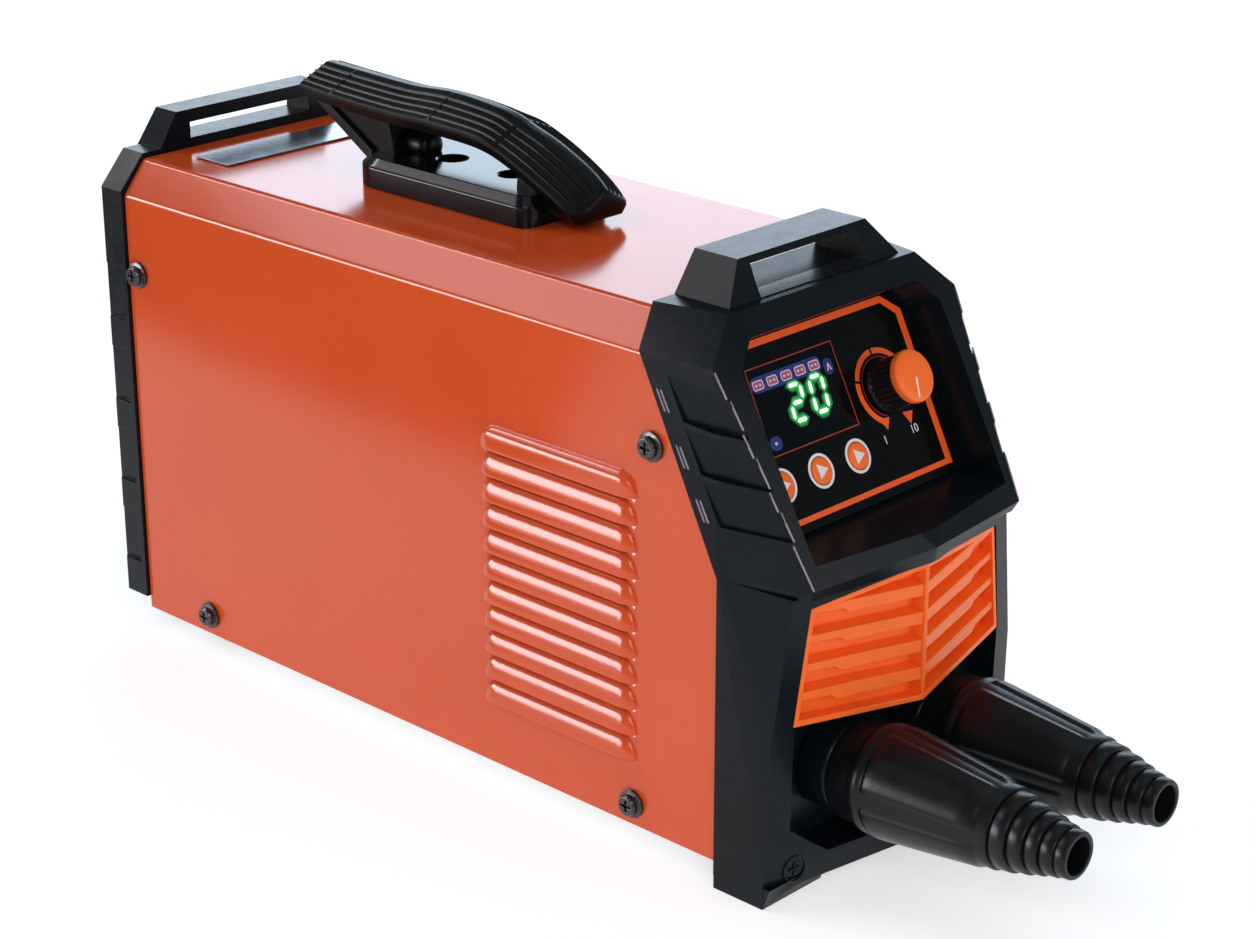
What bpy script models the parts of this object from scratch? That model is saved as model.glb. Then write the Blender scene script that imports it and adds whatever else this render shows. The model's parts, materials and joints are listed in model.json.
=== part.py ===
"""Stick welding inverter: a painted steel case between two black plastic bezels, with its
carrying handle, control panel, twist-lock output plugs, fan, power switch and inner parts.

+X is the right of someone facing the front panel, the front faces -Y and +Z is up. The origin
is on the floor under the middle. Dimensions below are in millimetres and are scaled to metres
when a mesh is made.
"""

import math

import bmesh
import bpy
from mathutils import Matrix, Vector

MM = 0.001
GAP = 0.3                      # clearance between touching pieces
TURNED_STEPS = 24              # facets round a turned piece

# Case
SHEET = 1.2                    # steel thickness
COVER_HALF = 63.5              # half width over the steel
COVER_LOW, COVER_TOP = 9.3, 193.6
CREASE_Z, CREASE_HALF = 182.0, 52.7   # the chamfer between the side and the top
KNEE_Y, KNEE_Z = -108.8, 112.7        # below the knee the front edge is vertical
REAR_Y = 196.9
BEZEL_HALF = 65.0
BEZEL_TOP = 195.5
BEZEL_LOW = 4.8                # underside between the feet
WALL = 3.2                     # moulded wall
SIDE_WALL = 4.5
REAR_FACE_Y = 213.5
GUARD_TOP = 208.5              # the roll bars over both bezels

# Control panel: a plane that leans back, seen through a recess in the front bezel
PANEL_LEAN = math.radians(28.5)
PANEL_REF_Y, PANEL_REF_Z = -104.0, 182.0   # a point of the hood's front plane
PANEL_DEPTH = 13.0
PANEL_THICK = 1.8
BOARD_DEPTH, BOARD_THICK = 20.0, 1.6
KNOB_X, KNOB_DOWN = 24.8, 24.3
BUTTON_XS = (-37.2, -18.2, 0.8)
BUTTON_DOWN, BUTTON_RADIUS = 42.9, 4.8
DISPLAY_X, DISPLAY_DOWN = -15.1, 18.4      # centre of the display window
DISPLAY_W, DISPLAY_H = 43.4, 29.6

# Output sockets and plugs
SOCKET_X, SOCKET_Z = 24.2, 40.2
BAY_BACK_Y = -124.0
FLANGE_FRONT_Y = -136.5
PLUG_START_Y = FLANGE_FRONT_Y - 0.4
PLUG_END_Y = -226.7
GLAND_END_Y = 226.7            # the gland and the plugs end equally far from the middle

# Side screws, as (y, z)
SIDE_SCREWS = {
    "front_upper": (-79.4, 150.5),
    "rear_upper": (190.8, 150.5),
    "front_lower": (-70.8, 17.5),
    "rear_lower": (158.0, 17.5),
}
SCREW_BORE = 2.4
LOUVRE_ROWS, LOUVRE_PITCH = 11, 9.6
LOUVRE_TOP_Z = 130.3
LOUVRE_FRONT_Y, LOUVRE_REAR_Y = -72.5, 1.0
LOUVRE_OUT = 3.0

HANDLE_SCREW_YS = (49.0, 81.0)
HANDLE_BASE_TOP = 204.6
HANDLE_SEAT = 197.0            # the screw heads' seat
FAN_Z, FAN_SIZE, FAN_BORE = 70.0, 80.0, 38.0
FAN_DEPTH = 25.0
FAN_REAR_Y = REAR_FACE_Y - 5.6
SWITCH_X, GLAND_X, INLET_Z = -26.0, 27.0, 150.0
STUD_X, STUD_Z = 45.0, 124.0

for old in list(bpy.data.objects):
    bpy.data.objects.remove(old, do_unlink=True)


# ---------------------------------------------------------------- materials

def material(name, colour, roughness, metallic=0.0):
    made = bpy.data.materials.new(name)
    made.use_nodes = True
    shader = made.node_tree.nodes["Principled BSDF"]
    shader.inputs["Base Color"].default_value = (*colour, 1.0)
    shader.inputs["Roughness"].default_value = roughness
    shader.inputs["Metallic"].default_value = metallic
    made.diffuse_color = (*colour, 1.0)
    return made


ORANGE_PAINT = material("orange_paint", (0.60, 0.085, 0.022), 0.25)
BLACK_PLASTIC = material("black_plastic", (0.012, 0.016, 0.020), 0.45)
ORANGE_PLASTIC = material("orange_plastic", (0.87, 0.12, 0.01), 0.4)
PANEL_FILM = material("panel_film", (0.006, 0.006, 0.007), 0.15)
LENS = material("display_lens", (0.003, 0.004, 0.006), 0.05)
RUBBER = material("black_rubber", (0.010, 0.010, 0.012), 0.55)
BRASS = material("brass", (0.72, 0.48, 0.18), 0.3, 1.0)
DARK_STEEL = material("dark_steel", (0.06, 0.06, 0.065), 0.35, 1.0)
ZINC = material("zinc_steel", (0.55, 0.56, 0.57), 0.35, 1.0)
SILVER_FILM = material("silver_film", (0.45, 0.48, 0.52), 0.2, 0.6)
BOARD = material("circuit_board", (0.015, 0.10, 0.04), 0.5)
ALUMINIUM = material("aluminium", (0.62, 0.63, 0.64), 0.4, 1.0)
COPPER = material("copper", (0.70, 0.28, 0.14), 0.35, 1.0)
FERRITE = material("ferrite", (0.04, 0.04, 0.045), 0.7)
CAN = material("capacitor_sleeve", (0.02, 0.03, 0.08), 0.4)


# ---------------------------------------------------------------- mesh tools

def block(low, high):
    bm = bmesh.new()
    size = Vector(high) - Vector(low)
    centre = (Vector(high) + Vector(low)) / 2
    place = Matrix.Translation(centre) @ Matrix.Diagonal((*size, 1.0))
    bmesh.ops.create_cube(bm, size=1.0, matrix=place)
    return bm


def prism(axis, outline, start, end):
    """An outline drawn across an axis, extruded along it. Across X it is (y, z), across Y (x, z)."""
    places = {
        "X": lambda a, b, along: (along, a, b),
        "Y": lambda a, b, along: (a, along, b),
        "Z": lambda a, b, along: (a, b, along),
    }
    bm = bmesh.new()
    near = [bm.verts.new(places[axis](a, b, start)) for a, b in outline]
    far = [bm.verts.new(places[axis](a, b, end)) for a, b in outline]
    bm.faces.new(near)
    bm.faces.new(far)
    for i in range(len(outline)):
        j = (i + 1) % len(outline)
        bm.faces.new((near[i], near[j], far[j], far[i]))
    return bm


def hull(points):
    bm = bmesh.new()
    for point in points:
        bm.verts.new(point)
    made = bmesh.ops.convex_hull(bm, input=bm.verts)
    unused = [item for item in made["geom_interior"] if isinstance(item, bmesh.types.BMVert)]
    bmesh.ops.delete(bm, geom=unused, context="VERTS")
    flat = math.radians(0.5)
    bmesh.ops.dissolve_limit(bm, angle_limit=flat, verts=bm.verts, edges=bm.edges)
    return bm


def turned(profile, steps=TURNED_STEPS):
    """A closed profile of (radius, height) turned about local Z."""
    bm = bmesh.new()
    verts = [bm.verts.new((radius, 0.0, height)) for radius, height in profile]
    pairs = zip(verts, verts[1:] + verts[:1])
    edges = [bm.edges.new(pair) for pair in pairs if pair[0].co.x > 0 or pair[1].co.x > 0]
    bmesh.ops.spin(bm, geom=verts + edges, cent=(0, 0, 0), axis=(0, 0, 1),
                   angle=math.tau, steps=steps, use_merge=True)
    bmesh.ops.remove_doubles(bm, verts=bm.verts, dist=0.001)
    return bm


def tube(radius, start, end, steps=TURNED_STEPS):
    return turned([(0, start), (radius, start), (radius, end), (0, end)], steps)


def moved(bm, matrix):
    bmesh.ops.transform(bm, matrix=matrix, verts=bm.verts)
    return bm


def along_y(bm, x, z, y=0.0):
    """Turns local Z to -Y, so that heights count towards the front."""
    return moved(bm, Matrix.Translation((x, y, z)) @ Matrix.Rotation(math.radians(90), 4, "X"))


def together(*parts):
    """Several separate shapes in one mesh, used as one cutter."""
    whole = bmesh.new()
    for part in parts:
        mesh = bpy.data.meshes.new("part")
        part.to_mesh(mesh)
        part.free()
        whole.from_mesh(mesh)
        bpy.data.meshes.remove(mesh)
    return whole


def solid(name, bm, finish, origin=(0, 0, 0), matrix=None):
    """Makes the named object. The mesh is drawn about its origin, which is given in millimetres."""
    bmesh.ops.recalc_face_normals(bm, faces=bm.faces)
    bmesh.ops.scale(bm, vec=(MM, MM, MM), verts=bm.verts)
    mesh = bpy.data.meshes.new(name)
    bm.to_mesh(mesh)
    bm.free()
    mesh.materials.append(finish)
    mesh.shade_smooth()
    mesh.set_sharp_from_angle(angle=math.radians(32))
    made = bpy.data.objects.new(name, mesh)
    bpy.context.scene.collection.objects.link(made)
    made.matrix_world = Matrix.Translation(Vector(origin) * MM) @ (matrix or Matrix())
    return made


def helper(name, bm):
    made = solid(name, bm, BLACK_PLASTIC)
    made.hide_render = True
    made.display_type = "WIRE"
    return made


def boolean(target, other, operation):
    step = target.modifiers.new(other.name, "BOOLEAN")
    step.operation = operation
    step.object = other
    step.solver = "EXACT"


def cut(target, name, bm):
    boolean(target, helper(name, bm), "DIFFERENCE")


def add(target, name, bm):
    boolean(target, helper(name, bm), "UNION")


def both_sides(points):
    """The same points at +x and -x."""
    return [(side * x, y, z) for x, y, z in points for side in (1, -1)]


def side_holes(radius, keys):
    """Bores along X through both sides at the named screws."""
    bores = []
    for key in keys:
        y, z = SIDE_SCREWS[key]
        turn = Matrix.Translation((0, y, z)) @ Matrix.Rotation(math.radians(90), 4, "Y")
        bores.append(moved(tube(radius, 50, 75, 16), turn))
        bores.append(moved(tube(radius, -75, -50, 16), turn))
    return together(*bores)


# ---------------------------------------------------------------- panel frame

PANEL_TURN = Matrix.Rotation(math.radians(90) - PANEL_LEAN, 4, "X")


def panel_place(x=0.0, down=0.0, out=0.0):
    """Where a panel point is: x across, down the panel, and out from the hood's front plane."""
    local = PANEL_TURN @ Vector((x, -down, out))
    return Vector((0.0, PANEL_REF_Y, PANEL_REF_Z)) + local


def on_panel(bm, x=0.0, down=0.0):
    """Puts a mesh drawn as (across, up, out) on the panel."""
    return moved(bm, Matrix.Translation(panel_place(x, down)) @ PANEL_TURN)


def panel_outline(grow, low):
    """The recess's outline in the panel's plane as (x, down), with its top corners cut off."""
    half = [(42.4 + grow, -5.7 - grow), (51.2 + grow, 3.6 - grow), (50.4 + grow, low)]
    return half + [(-x, down) for x, down in reversed(half)]


def recess(depth, grow):
    """The recess in front of the panel. Its floor runs out level to the hood's lip."""
    back = [panel_place(x, down, -depth) for x, down in panel_outline(grow, 60.0 + grow)]
    front = [panel_place(x, down, 8.0) for x, down in panel_outline(grow, 74.0 + grow)]
    return hull(back + front)


# ---------------------------------------------------------------- steel case

def louvre_shapes(section, end):
    """The same section extruded for each row on both sides. `end` trims its length at each end."""
    shapes = []
    for side in (1, -1):
        for row in range(LOUVRE_ROWS):
            low = LOUVRE_TOP_Z - row * LOUVRE_PITCH
            outline = [(side * (COVER_HALF + out), low + up) for out, up in section]
            shapes.append(prism("Y", outline, LOUVRE_FRONT_Y + end, LOUVRE_REAR_Y - end))
    return together(*shapes)


def cover():
    outer = [(-COVER_HALF, COVER_LOW), (-COVER_HALF, CREASE_Z), (-CREASE_HALF, COVER_TOP),
             (CREASE_HALF, COVER_TOP), (COVER_HALF, CREASE_Z), (COVER_HALF, COVER_LOW)]
    inner = [(COVER_HALF - SHEET, COVER_LOW), (COVER_HALF - SHEET, CREASE_Z - 0.5),
             (CREASE_HALF - 0.5, COVER_TOP - SHEET), (0.5 - CREASE_HALF, COVER_TOP - SHEET),
             (SHEET - COVER_HALF, CREASE_Z - 0.5), (SHEET - COVER_HALF, COVER_LOW)]
    sheet = solid("cover", prism("Y", outer + inner, KNEE_Y, REAR_Y), ORANGE_PAINT)
    slope = [(-113.8, 102.7), (-74.1, CREASE_Z), (-69.6, COVER_TOP), (-66.0, 203.0),
             (-130.0, 203.0), (-130.0, 102.7)]
    cut(sheet, "cover_front_slope", prism("X", slope, -80, 80))
    hood = [(-0.6, 6.6), (0.2, 6.6), (LOUVRE_OUT, 1.2), (LOUVRE_OUT, 0.0), (-0.6, 0.0)]
    add(sheet, "louvre_hoods", louvre_shapes(hood, 0.0))
    hollow = [(-3.0, 0.5), (-3.0, 4.6), (0.0, 4.9), (2.0, 1.0), (2.0, -0.6), (0.15, -0.6), (0.15, 0.5)]
    cut(sheet, "louvre_hollows", louvre_shapes(hollow, 1.2))
    cut(sheet, "cover_screw_holes", side_holes(SCREW_BORE, SIDE_SCREWS))
    bores = []
    for y in HANDLE_SCREW_YS:
        bores.append(moved(tube(2.6, 185, 200, 16), Matrix.Translation((0, y, 0))))
    cut(sheet, "cover_handle_holes", together(*bores))


def base_pan():
    half = COVER_HALF - SHEET - GAP
    floor = COVER_LOW + GAP
    flange = 28.0
    outline = [(-half, floor), (half, floor), (half, flange), (half - SHEET, flange),
               (half - SHEET, floor + SHEET), (SHEET - half, floor + SHEET),
               (SHEET - half, flange), (-half, flange)]
    pan = solid("base_pan", prism("Y", outline, -106, 194), ZINC)
    cut(pan, "pan_screw_holes", side_holes(SCREW_BORE, ("front_lower", "rear_lower")))
    vents = [block((-34, y, 5), (34, y + 4, 15)) for y in range(-90, -29, 12)]
    cut(pan, "pan_vents", together(*vents))


def rear_feet():
    for name, side in (("left", -1), ("right", 1)):
        foot = turned([(0, 0), (6.2, 0), (7.0, 1.2), (7.6, 9.0), (0, 9.0)], 20)
        solid(f"rear_foot_{name}", foot, RUBBER, origin=(side * 44, 165, 0))


def plus_outline(arm, half):
    quarter = [(half, half), (half, arm), (-half, arm)]
    points = []
    for _ in range(4):
        points += quarter
        quarter = [(-b, a) for a, b in quarter]
    return points


def side_screws():
    head = [(0, 3.6), (3.4, 3.6), (3.9, 2.8), (3.9, 1.3), (5.3, 1.0), (5.3, 0.0),
            (2.0, 0.0), (2.0, -7.0), (0, -7.0)]
    for side_name, side in (("left", -1), ("right", 1)):
        turn = Matrix.Rotation(side * math.radians(90), 4, "Y")
        for key, (y, z) in SIDE_SCREWS.items():
            seat = (side * (COVER_HALF + GAP), y, z)
            screw = solid(f"screw_{side_name}_{key}", turned(head, 12), DARK_STEEL, origin=seat, matrix=turn)
            cross = prism("Z", plus_outline(2.2, 0.5), 2.2, 5.0)
            cut(screw, f"recess_{side_name}_{key}", moved(cross, Matrix.Translation(seat) @ turn))


def top_plate():
    half_length = 39.5
    outline = [(-half_length, 163.0), (half_length, 163.0), (half_length, 183.0), (-half_length, 183.0)]
    low = COVER_TOP + GAP
    solid("top_plate", prism("Z", outline, low, low + 0.5), SILVER_FILM)


# ---------------------------------------------------------------- front bezel

HOOD_REAR_TOP = Vector((BEZEL_HALF, -74.6, CREASE_Z + 0.6))
HOOD_REAR_LOW = Vector((BEZEL_HALF, KNEE_Y - 0.4, KNEE_Z))
HOOD_FRONT_TOP = Vector((62.2, -104.0, 182.0))
HOOD_FRONT_LOW = Vector((54.5, -141.3, 114.2))


def hood_points(inset, rear):
    """The hood's corners, each wall moved in by `inset` and its open back moved by `rear`."""
    lean = inset * math.cos(PANEL_LEAN)
    in_and_down = Vector((-inset, 0, -inset * 0.4))
    in_and_back = Vector((-inset, lean, 0))
    return both_sides([
        (CREASE_HALF + 0.9 - inset, -70.1 + rear, BEZEL_TOP - inset),
        HOOD_REAR_TOP + in_and_down + Vector((0, rear, 0)),
        HOOD_REAR_LOW + Vector((-inset, rear, 0)),
        (47.8 - inset, -97.3 + lean, BEZEL_TOP - inset),
        HOOD_FRONT_TOP + in_and_down + Vector((0, lean, 0)),
        HOOD_FRONT_LOW + in_and_back,
        (53.5 - inset, -139.0 + lean, 110.0),
        (1.0, -148.2 + lean, 115.6),
        (1.0, -147.0 + lean, 110.0),
    ])


def lower_points():
    return both_sides([
        (BEZEL_HALF, KNEE_Y - 0.4, KNEE_Z + 0.5),
        (BEZEL_HALF, KNEE_Y - 0.4, BEZEL_LOW),
        (BEZEL_HALF, -131.0, BEZEL_LOW),
        (64.0, -132.6, 60.0),
        (56.5, -134.6, 110.0),
        (1.0, -141.6, BEZEL_LOW),
        (1.0, -144.4, 60.0),
        (1.0, -144.8, 110.0),
    ])


def guard_points():
    """The roll bar on top of the bezel, drawn for the front one."""
    return both_sides([
        (44.9, -95.0, BEZEL_TOP - 2), (44.9, -70.2, BEZEL_TOP - 2),
        (32.5, -87.6, GUARD_TOP), (32.5, -69.0, GUARD_TOP),
    ])


def hood_side(across, down):
    """A point on the hood's side: `across` runs from its rear edge to its front edge, and `down` from
    the top to the knee. The side is two triangles that meet from the knee to the front's top."""
    if across + down <= 1.0:
        return (HOOD_REAR_TOP + (HOOD_FRONT_TOP - HOOD_REAR_TOP) * across
                + (HOOD_REAR_LOW - HOOD_REAR_TOP) * down)
    return (HOOD_FRONT_LOW + (HOOD_FRONT_TOP - HOOD_FRONT_LOW) * (1.0 - down)
            + (HOOD_REAR_LOW - HOOD_FRONT_LOW) * (1.0 - across))


def side_pockets():
    """Three wedges down each side of the hood, like shingles: each deepens to a ledge at its bottom and
    runs out at the hood's front edge."""
    shapes = []
    pitch, length, slant, depth, proud = 0.23, 0.2, 0.045, 1.6, 4.0
    for side in (1, -1):
        for step in range(3):
            points = []
            for across in (0.3, 0.65, 1.1):
                ledge = 0.27 + pitch * step + slant * across
                top, low = hood_side(across, ledge - length), hood_side(across, ledge)
                outward = Vector((1, 0, 0))
                points += [top, top + outward * proud, low - outward * depth, low + outward * proud]
            shapes.append(hull([(side * x, y, z) for x, y, z in points]))
    return together(*shapes)


def front_bezel():
    bezel = solid("front_bezel", hull(hood_points(0.0, 0.0)), BLACK_PLASTIC)
    add(bezel, "bezel_lower", hull(lower_points()))
    add(bezel, "bezel_guard", hull(guard_points()))
    foot = [(KNEE_Y - 0.4, 0), (KNEE_Y - 0.4, 8), (-134, 8), (-131, 0)]
    feet = [prism("X", foot, side * 35, side * 64.8) for side in (1, -1)]
    add(bezel, "bezel_feet", together(*feet))
    panel_back = PANEL_DEPTH + PANEL_THICK + GAP
    ledge = 2.4                 # the wall behind the panel
    room = helper("bezel_room", hull(hood_points(WALL, 12.0)))
    boolean(room, helper("recess_surround", recess(panel_back + ledge, 2.6)), "DIFFERENCE")
    boolean(bezel, room, "DIFFERENCE")
    inside = BEZEL_HALF - SIDE_WALL
    lower_room = block((-inside, -119.5, BEZEL_LOW + WALL), (inside, -95, KNEE_Z + 2))
    cut(bezel, "bezel_lower_room", lower_room)
    cut(bezel, "panel_recess", recess(panel_back, 0.0))
    slot = [(27.8, -110, 197.2), (27.8, -60, 197.2), (27.8, -110, 203.4), (27.8, -60, 203.4)]
    cut(bezel, "guard_slot", hull(both_sides(slot)))
    bay = [(57, -150, 66), (57, -150, 25.5), (38.5, -150, 12.5),
           (53, BAY_BACK_Y, 66), (53, BAY_BACK_Y, 27), (36.5, BAY_BACK_Y, 14.5)]
    cut(bezel, "socket_bay", hull(both_sides(bay)))
    cut(bezel, "grille_pocket", grille_shape(GAP, -6.0, 6.4))
    cut(bezel, "grille_window", grille_shape(-3.2, -6.0, 34.0))
    bores = [along_y(tube(11.0, 100, 130), side * SOCKET_X, SOCKET_Z) for side in (1, -1)]
    cut(bezel, "socket_holes", together(*bores))
    cut(bezel, "side_pockets", side_pockets())
    tongues = [block((side * 59.7 - 2.1, -92, 141), (side * 59.7 + 2.1, -70, 160)) for side in (1, -1)]
    add(bezel, "bezel_tongues", together(*tongues))
    cut(bezel, "bezel_screw_holes", side_holes(SCREW_BORE, ("front_upper",)))
    low, high = -panel_back - ledge - 2, -panel_back - ledge + 6
    half_w, half_h = DISPLAY_W / 2 - 1, DISPLAY_H / 2 - 1
    openings = [on_panel(block((-half_w, -half_h, low), (half_w, half_h, high)), DISPLAY_X, DISPLAY_DOWN),
                on_panel(tube(5.0, low, high), KNOB_X, KNOB_DOWN)]
    openings += [on_panel(tube(3.0, low, high, 16), x, BUTTON_DOWN) for x in BUTTON_XS]
    cut(bezel, "panel_openings", together(*openings))


def grille_y(x):
    """The grille's front face stands furthest forward in the middle."""
    return -144.5 + abs(x) * 0.193


def v_plate(columns, front, back):
    """A plate bent along its middle. Each column is (x, low z, x at the top, top z)."""
    bm = bmesh.new()
    rows = []
    for depth in (front, back):
        row = []
        for low_x, low_z, high_x, high_z in columns:
            row.append((bm.verts.new((low_x, grille_y(low_x) + depth, low_z)),
                        bm.verts.new((high_x, grille_y(high_x) + depth, high_z))))
        rows.append(row)
    near, far = rows
    for i in range(len(columns) - 1):
        for plane in rows:
            bm.faces.new((plane[i][0], plane[i + 1][0], plane[i + 1][1], plane[i][1]))
        bm.faces.new((near[i][0], near[i + 1][0], far[i + 1][0], far[i][0]))
        bm.faces.new((near[i][1], near[i + 1][1], far[i + 1][1], far[i][1]))
    for i in (0, -1):
        bm.faces.new((near[i][0], near[i][1], far[i][1], far[i][0]))
    return bm


def grille_shape(grow, front, back):
    low_x, low_z, high_x, high_z = 54.8 + grow, 64.5 - grow, 48.8 + grow, 105.0 + grow
    middle = (0, 59.1 - grow, 0, 109.4 + grow)
    return v_plate([(-low_x, low_z, -high_x, high_z), middle, (low_x, low_z, high_x, high_z)], front, back)


def grille():
    frame = solid("front_grille", grille_shape(0.0, -0.4, 6.0), ORANGE_PLASTIC)
    windows, blades = [], []
    blade_front, blade_back, rise, lip = 0.4, 5.6, 5.8, 1.3
    for side in (1, -1):
        window = [(side * 1.4, 61.6, side * 1.4, 106.9), (side * 52.2, 66.6, side * 46.8, 102.9)]
        windows.append(v_plate(window, -3, 9))
        for step in range(4):
            ends = ((side * 0.9, 63.0 + 11.0 * step), (side * (52.8 - 1.2 * step), 67.5 + 9.0 * step))
            points = []
            for x, z in ends:
                y = grille_y(x)
                points += [(x, y + blade_front, z), (x, y + blade_front, z + lip),
                           (x, y + blade_back, z + rise), (x, y + blade_back, z + rise - lip)]
            blades.append(hull(points))
    cut(frame, "grille_openings", together(*windows))
    add(frame, "grille_blades", together(*blades))


# ---------------------------------------------------------------- control panel

def panel_plate():
    depth = PANEL_DEPTH + PANEL_THICK
    outline = panel_outline(-GAP, 59.6)
    back = [panel_place(x, down, -depth) for x, down in outline]
    front = [panel_place(x, down, -PANEL_DEPTH) for x, down in outline]
    plate = solid("panel_plate", hull(back + front), PANEL_FILM)
    half_w, half_h = DISPLAY_W / 2 + GAP, DISPLAY_H / 2 + GAP
    low, high = -depth - 2, -depth + 5
    openings = [on_panel(block((-half_w, -half_h, low), (half_w, half_h, high)), DISPLAY_X, DISPLAY_DOWN),
                on_panel(tube(5.0, low, high), KNOB_X, KNOB_DOWN)]
    openings += [on_panel(tube(BUTTON_RADIUS + GAP, low, high), x, BUTTON_DOWN) for x in BUTTON_XS]
    cut(plate, "plate_openings", together(*openings))


def panel_piece(name, bm, finish, x, down):
    """A piece whose origin is a point of the hood's plane and whose local Z points out of the panel."""
    return solid(name, bm, finish, origin=panel_place(x, down), matrix=PANEL_TURN)


def display():
    half_w, half_h = DISPLAY_W / 2, DISPLAY_H / 2
    front, back = -PANEL_DEPTH, -PANEL_DEPTH - PANEL_THICK
    lens = block((-half_w, -half_h, back), (half_w, half_h, front))
    panel_piece("display_lens", lens, LENS, DISPLAY_X, DISPLAY_DOWN)
    rim = 1.4
    module = block((rim - half_w, rim - half_h, GAP - BOARD_DEPTH), (half_w - rim, half_h - rim, back - GAP))
    panel_piece("display_module", module, FERRITE, DISPLAY_X, DISPLAY_DOWN)


def control_board():
    face = -BOARD_DEPTH
    board = solid("control_board", on_panel(block((-44, -54, face - BOARD_THICK), (44, -2, face))), BOARD)
    for i, x in enumerate(BUTTON_XS):
        switch = block((-3, -3, face - 0.5), (3, 3, face + 0.9))
        add(board, f"tact_switch_{i}", on_panel(switch, x, BUTTON_DOWN))
    cut(board, "board_bush_hole", on_panel(tube(4.8, face - 10, face + 10, 20), KNOB_X, KNOB_DOWN))


def potentiometer():
    back = -BOARD_DEPTH - BOARD_THICK - GAP
    bush_end = -PANEL_DEPTH - 0.2
    body = [(3.3, back - 7.0), (8.0, back - 7.0), (8.0, back), (4.5, back), (4.5, bush_end), (3.3, bush_end)]
    panel_piece("potentiometer", turned(body), DARK_STEEL, KNOB_X, KNOB_DOWN)
    shaft = tube(3.0, back - 6.5, -4.0, 20)
    panel_piece("pot_shaft", shaft, ZINC, KNOB_X, KNOB_DOWN)


def knob():
    base = -PANEL_DEPTH + 0.5
    top = -1.3
    skirt = [(3.3, base), (9.6, base), (9.6, base + 1.5), (9.0, base + 1.9), (8.8, top), (0, top),
             (0, top - 2.2), (3.3, top - 2.2)]
    panel_piece("knob", turned(skirt, 32), BLACK_PLASTIC, KNOB_X, KNOB_DOWN)
    cap = [(0, top + GAP), (9.3, top + GAP), (9.3, 1.0), (8.9, 1.7), (8.0, 2.0), (0, 2.2)]
    panel_piece("knob_cap", turned(cap, 32), ORANGE_PLASTIC, KNOB_X, KNOB_DOWN)


def buttons():
    surface = -PANEL_DEPTH
    stem, stem_end = 2.5, 1.9 - BOARD_DEPTH
    profile = [(0, surface + 0.6), (BUTTON_RADIUS - 0.6, surface + 0.6), (BUTTON_RADIUS, surface + 0.1),
               (BUTTON_RADIUS, surface - 1.0), (stem, surface - 1.0), (stem, stem_end), (0, stem_end)]
    for name, x in zip(("left", "middle", "right"), BUTTON_XS):
        panel_piece(f"button_{name}", turned(profile), ORANGE_PLASTIC, x, BUTTON_DOWN)


# ---------------------------------------------------------------- sockets and plugs

def socket_profiles():
    """The socket's body and its brass insert. Heights count from y = 0 towards the front."""
    back, front = -BAY_BACK_Y, -FLANGE_FRONT_Y
    body = [(8.3, back - 12), (10.7, back - 12), (10.7, back + GAP), (16.0, back + GAP), (16.8, back + 1.2),
            (16.8, front - 1.2), (16.0, front), (8.3, front)]
    insert = [(4.8, back - 22), (8.0, back - 22), (8.0, front - 0.6), (4.8, front - 0.6)]
    return body, insert


def plug_profiles():
    """The plug's rubber sleeve, which steps down in rings to the cable's entry, and its brass pin."""
    start, end = -PLUG_START_Y, -PLUG_END_Y
    rings = []
    for radius, near, far in ((13.4, 64.0, 69.4), (12.0, 69.8, 75.2), (10.6, 75.6, 80.1), (9.2, 80.5, 85.4)):
        rings += [(radius, start + near), (radius - 0.4, start + far)]
    sleeve = [(7.9, start), (17.0, start), (17.6, start + 0.8), (17.9, start + 9), (19.4, start + 12),
              (19.0, start + 22), (14.2, start + 63.6)]
    sleeve += rings + [(8.6, start + 85.8), (8.2, end), (6.2, end), (6.2, start + 40), (7.9, start + 40)]
    back = -BAY_BACK_Y
    pin = [(0, back - 18), (3.7, back - 18), (4.5, back - 17), (4.5, start + 1.5), (7.6, start + 1.5),
           (7.6, start + 36), (0, start + 36)]
    return sleeve, pin


def outlets():
    body, insert = socket_profiles()
    sleeve, pin = plug_profiles()
    pieces = (("socket_body", body, BLACK_PLASTIC, 24), ("socket_insert", insert, BRASS, 16),
              ("plug_sleeve", sleeve, RUBBER, 24), ("plug_pin", pin, BRASS, 16))
    towards_front = Matrix.Rotation(math.radians(90), 4, "X")
    for name, side in (("minus", -1), ("plus", 1)):
        for piece, profile, finish, steps in pieces:
            solid(f"{piece}_{name}", turned(profile, steps), finish,
                  origin=(side * SOCKET_X, 0, SOCKET_Z), matrix=towards_front)


# ---------------------------------------------------------------- rear bezel and what it carries

def rear_points(inset, ahead):
    near, far = REAR_Y + 0.4 - ahead, REAR_FACE_Y - inset
    low, crease = 14.0 + inset, CREASE_Z - inset * 0.4
    points = []
    for y in (near, far - 4):
        points += [(BEZEL_HALF - inset, y, low), (BEZEL_HALF - inset, y, crease + 0.6),
                   (CREASE_HALF + 0.9 - inset, y, BEZEL_TOP - inset)]
    points += [(61.5 - inset, far, low + 3), (61.5 - inset, far, crease),
               (50.5 - inset, far, BEZEL_TOP - 3.5 - inset)]
    return both_sides(points)


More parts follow.
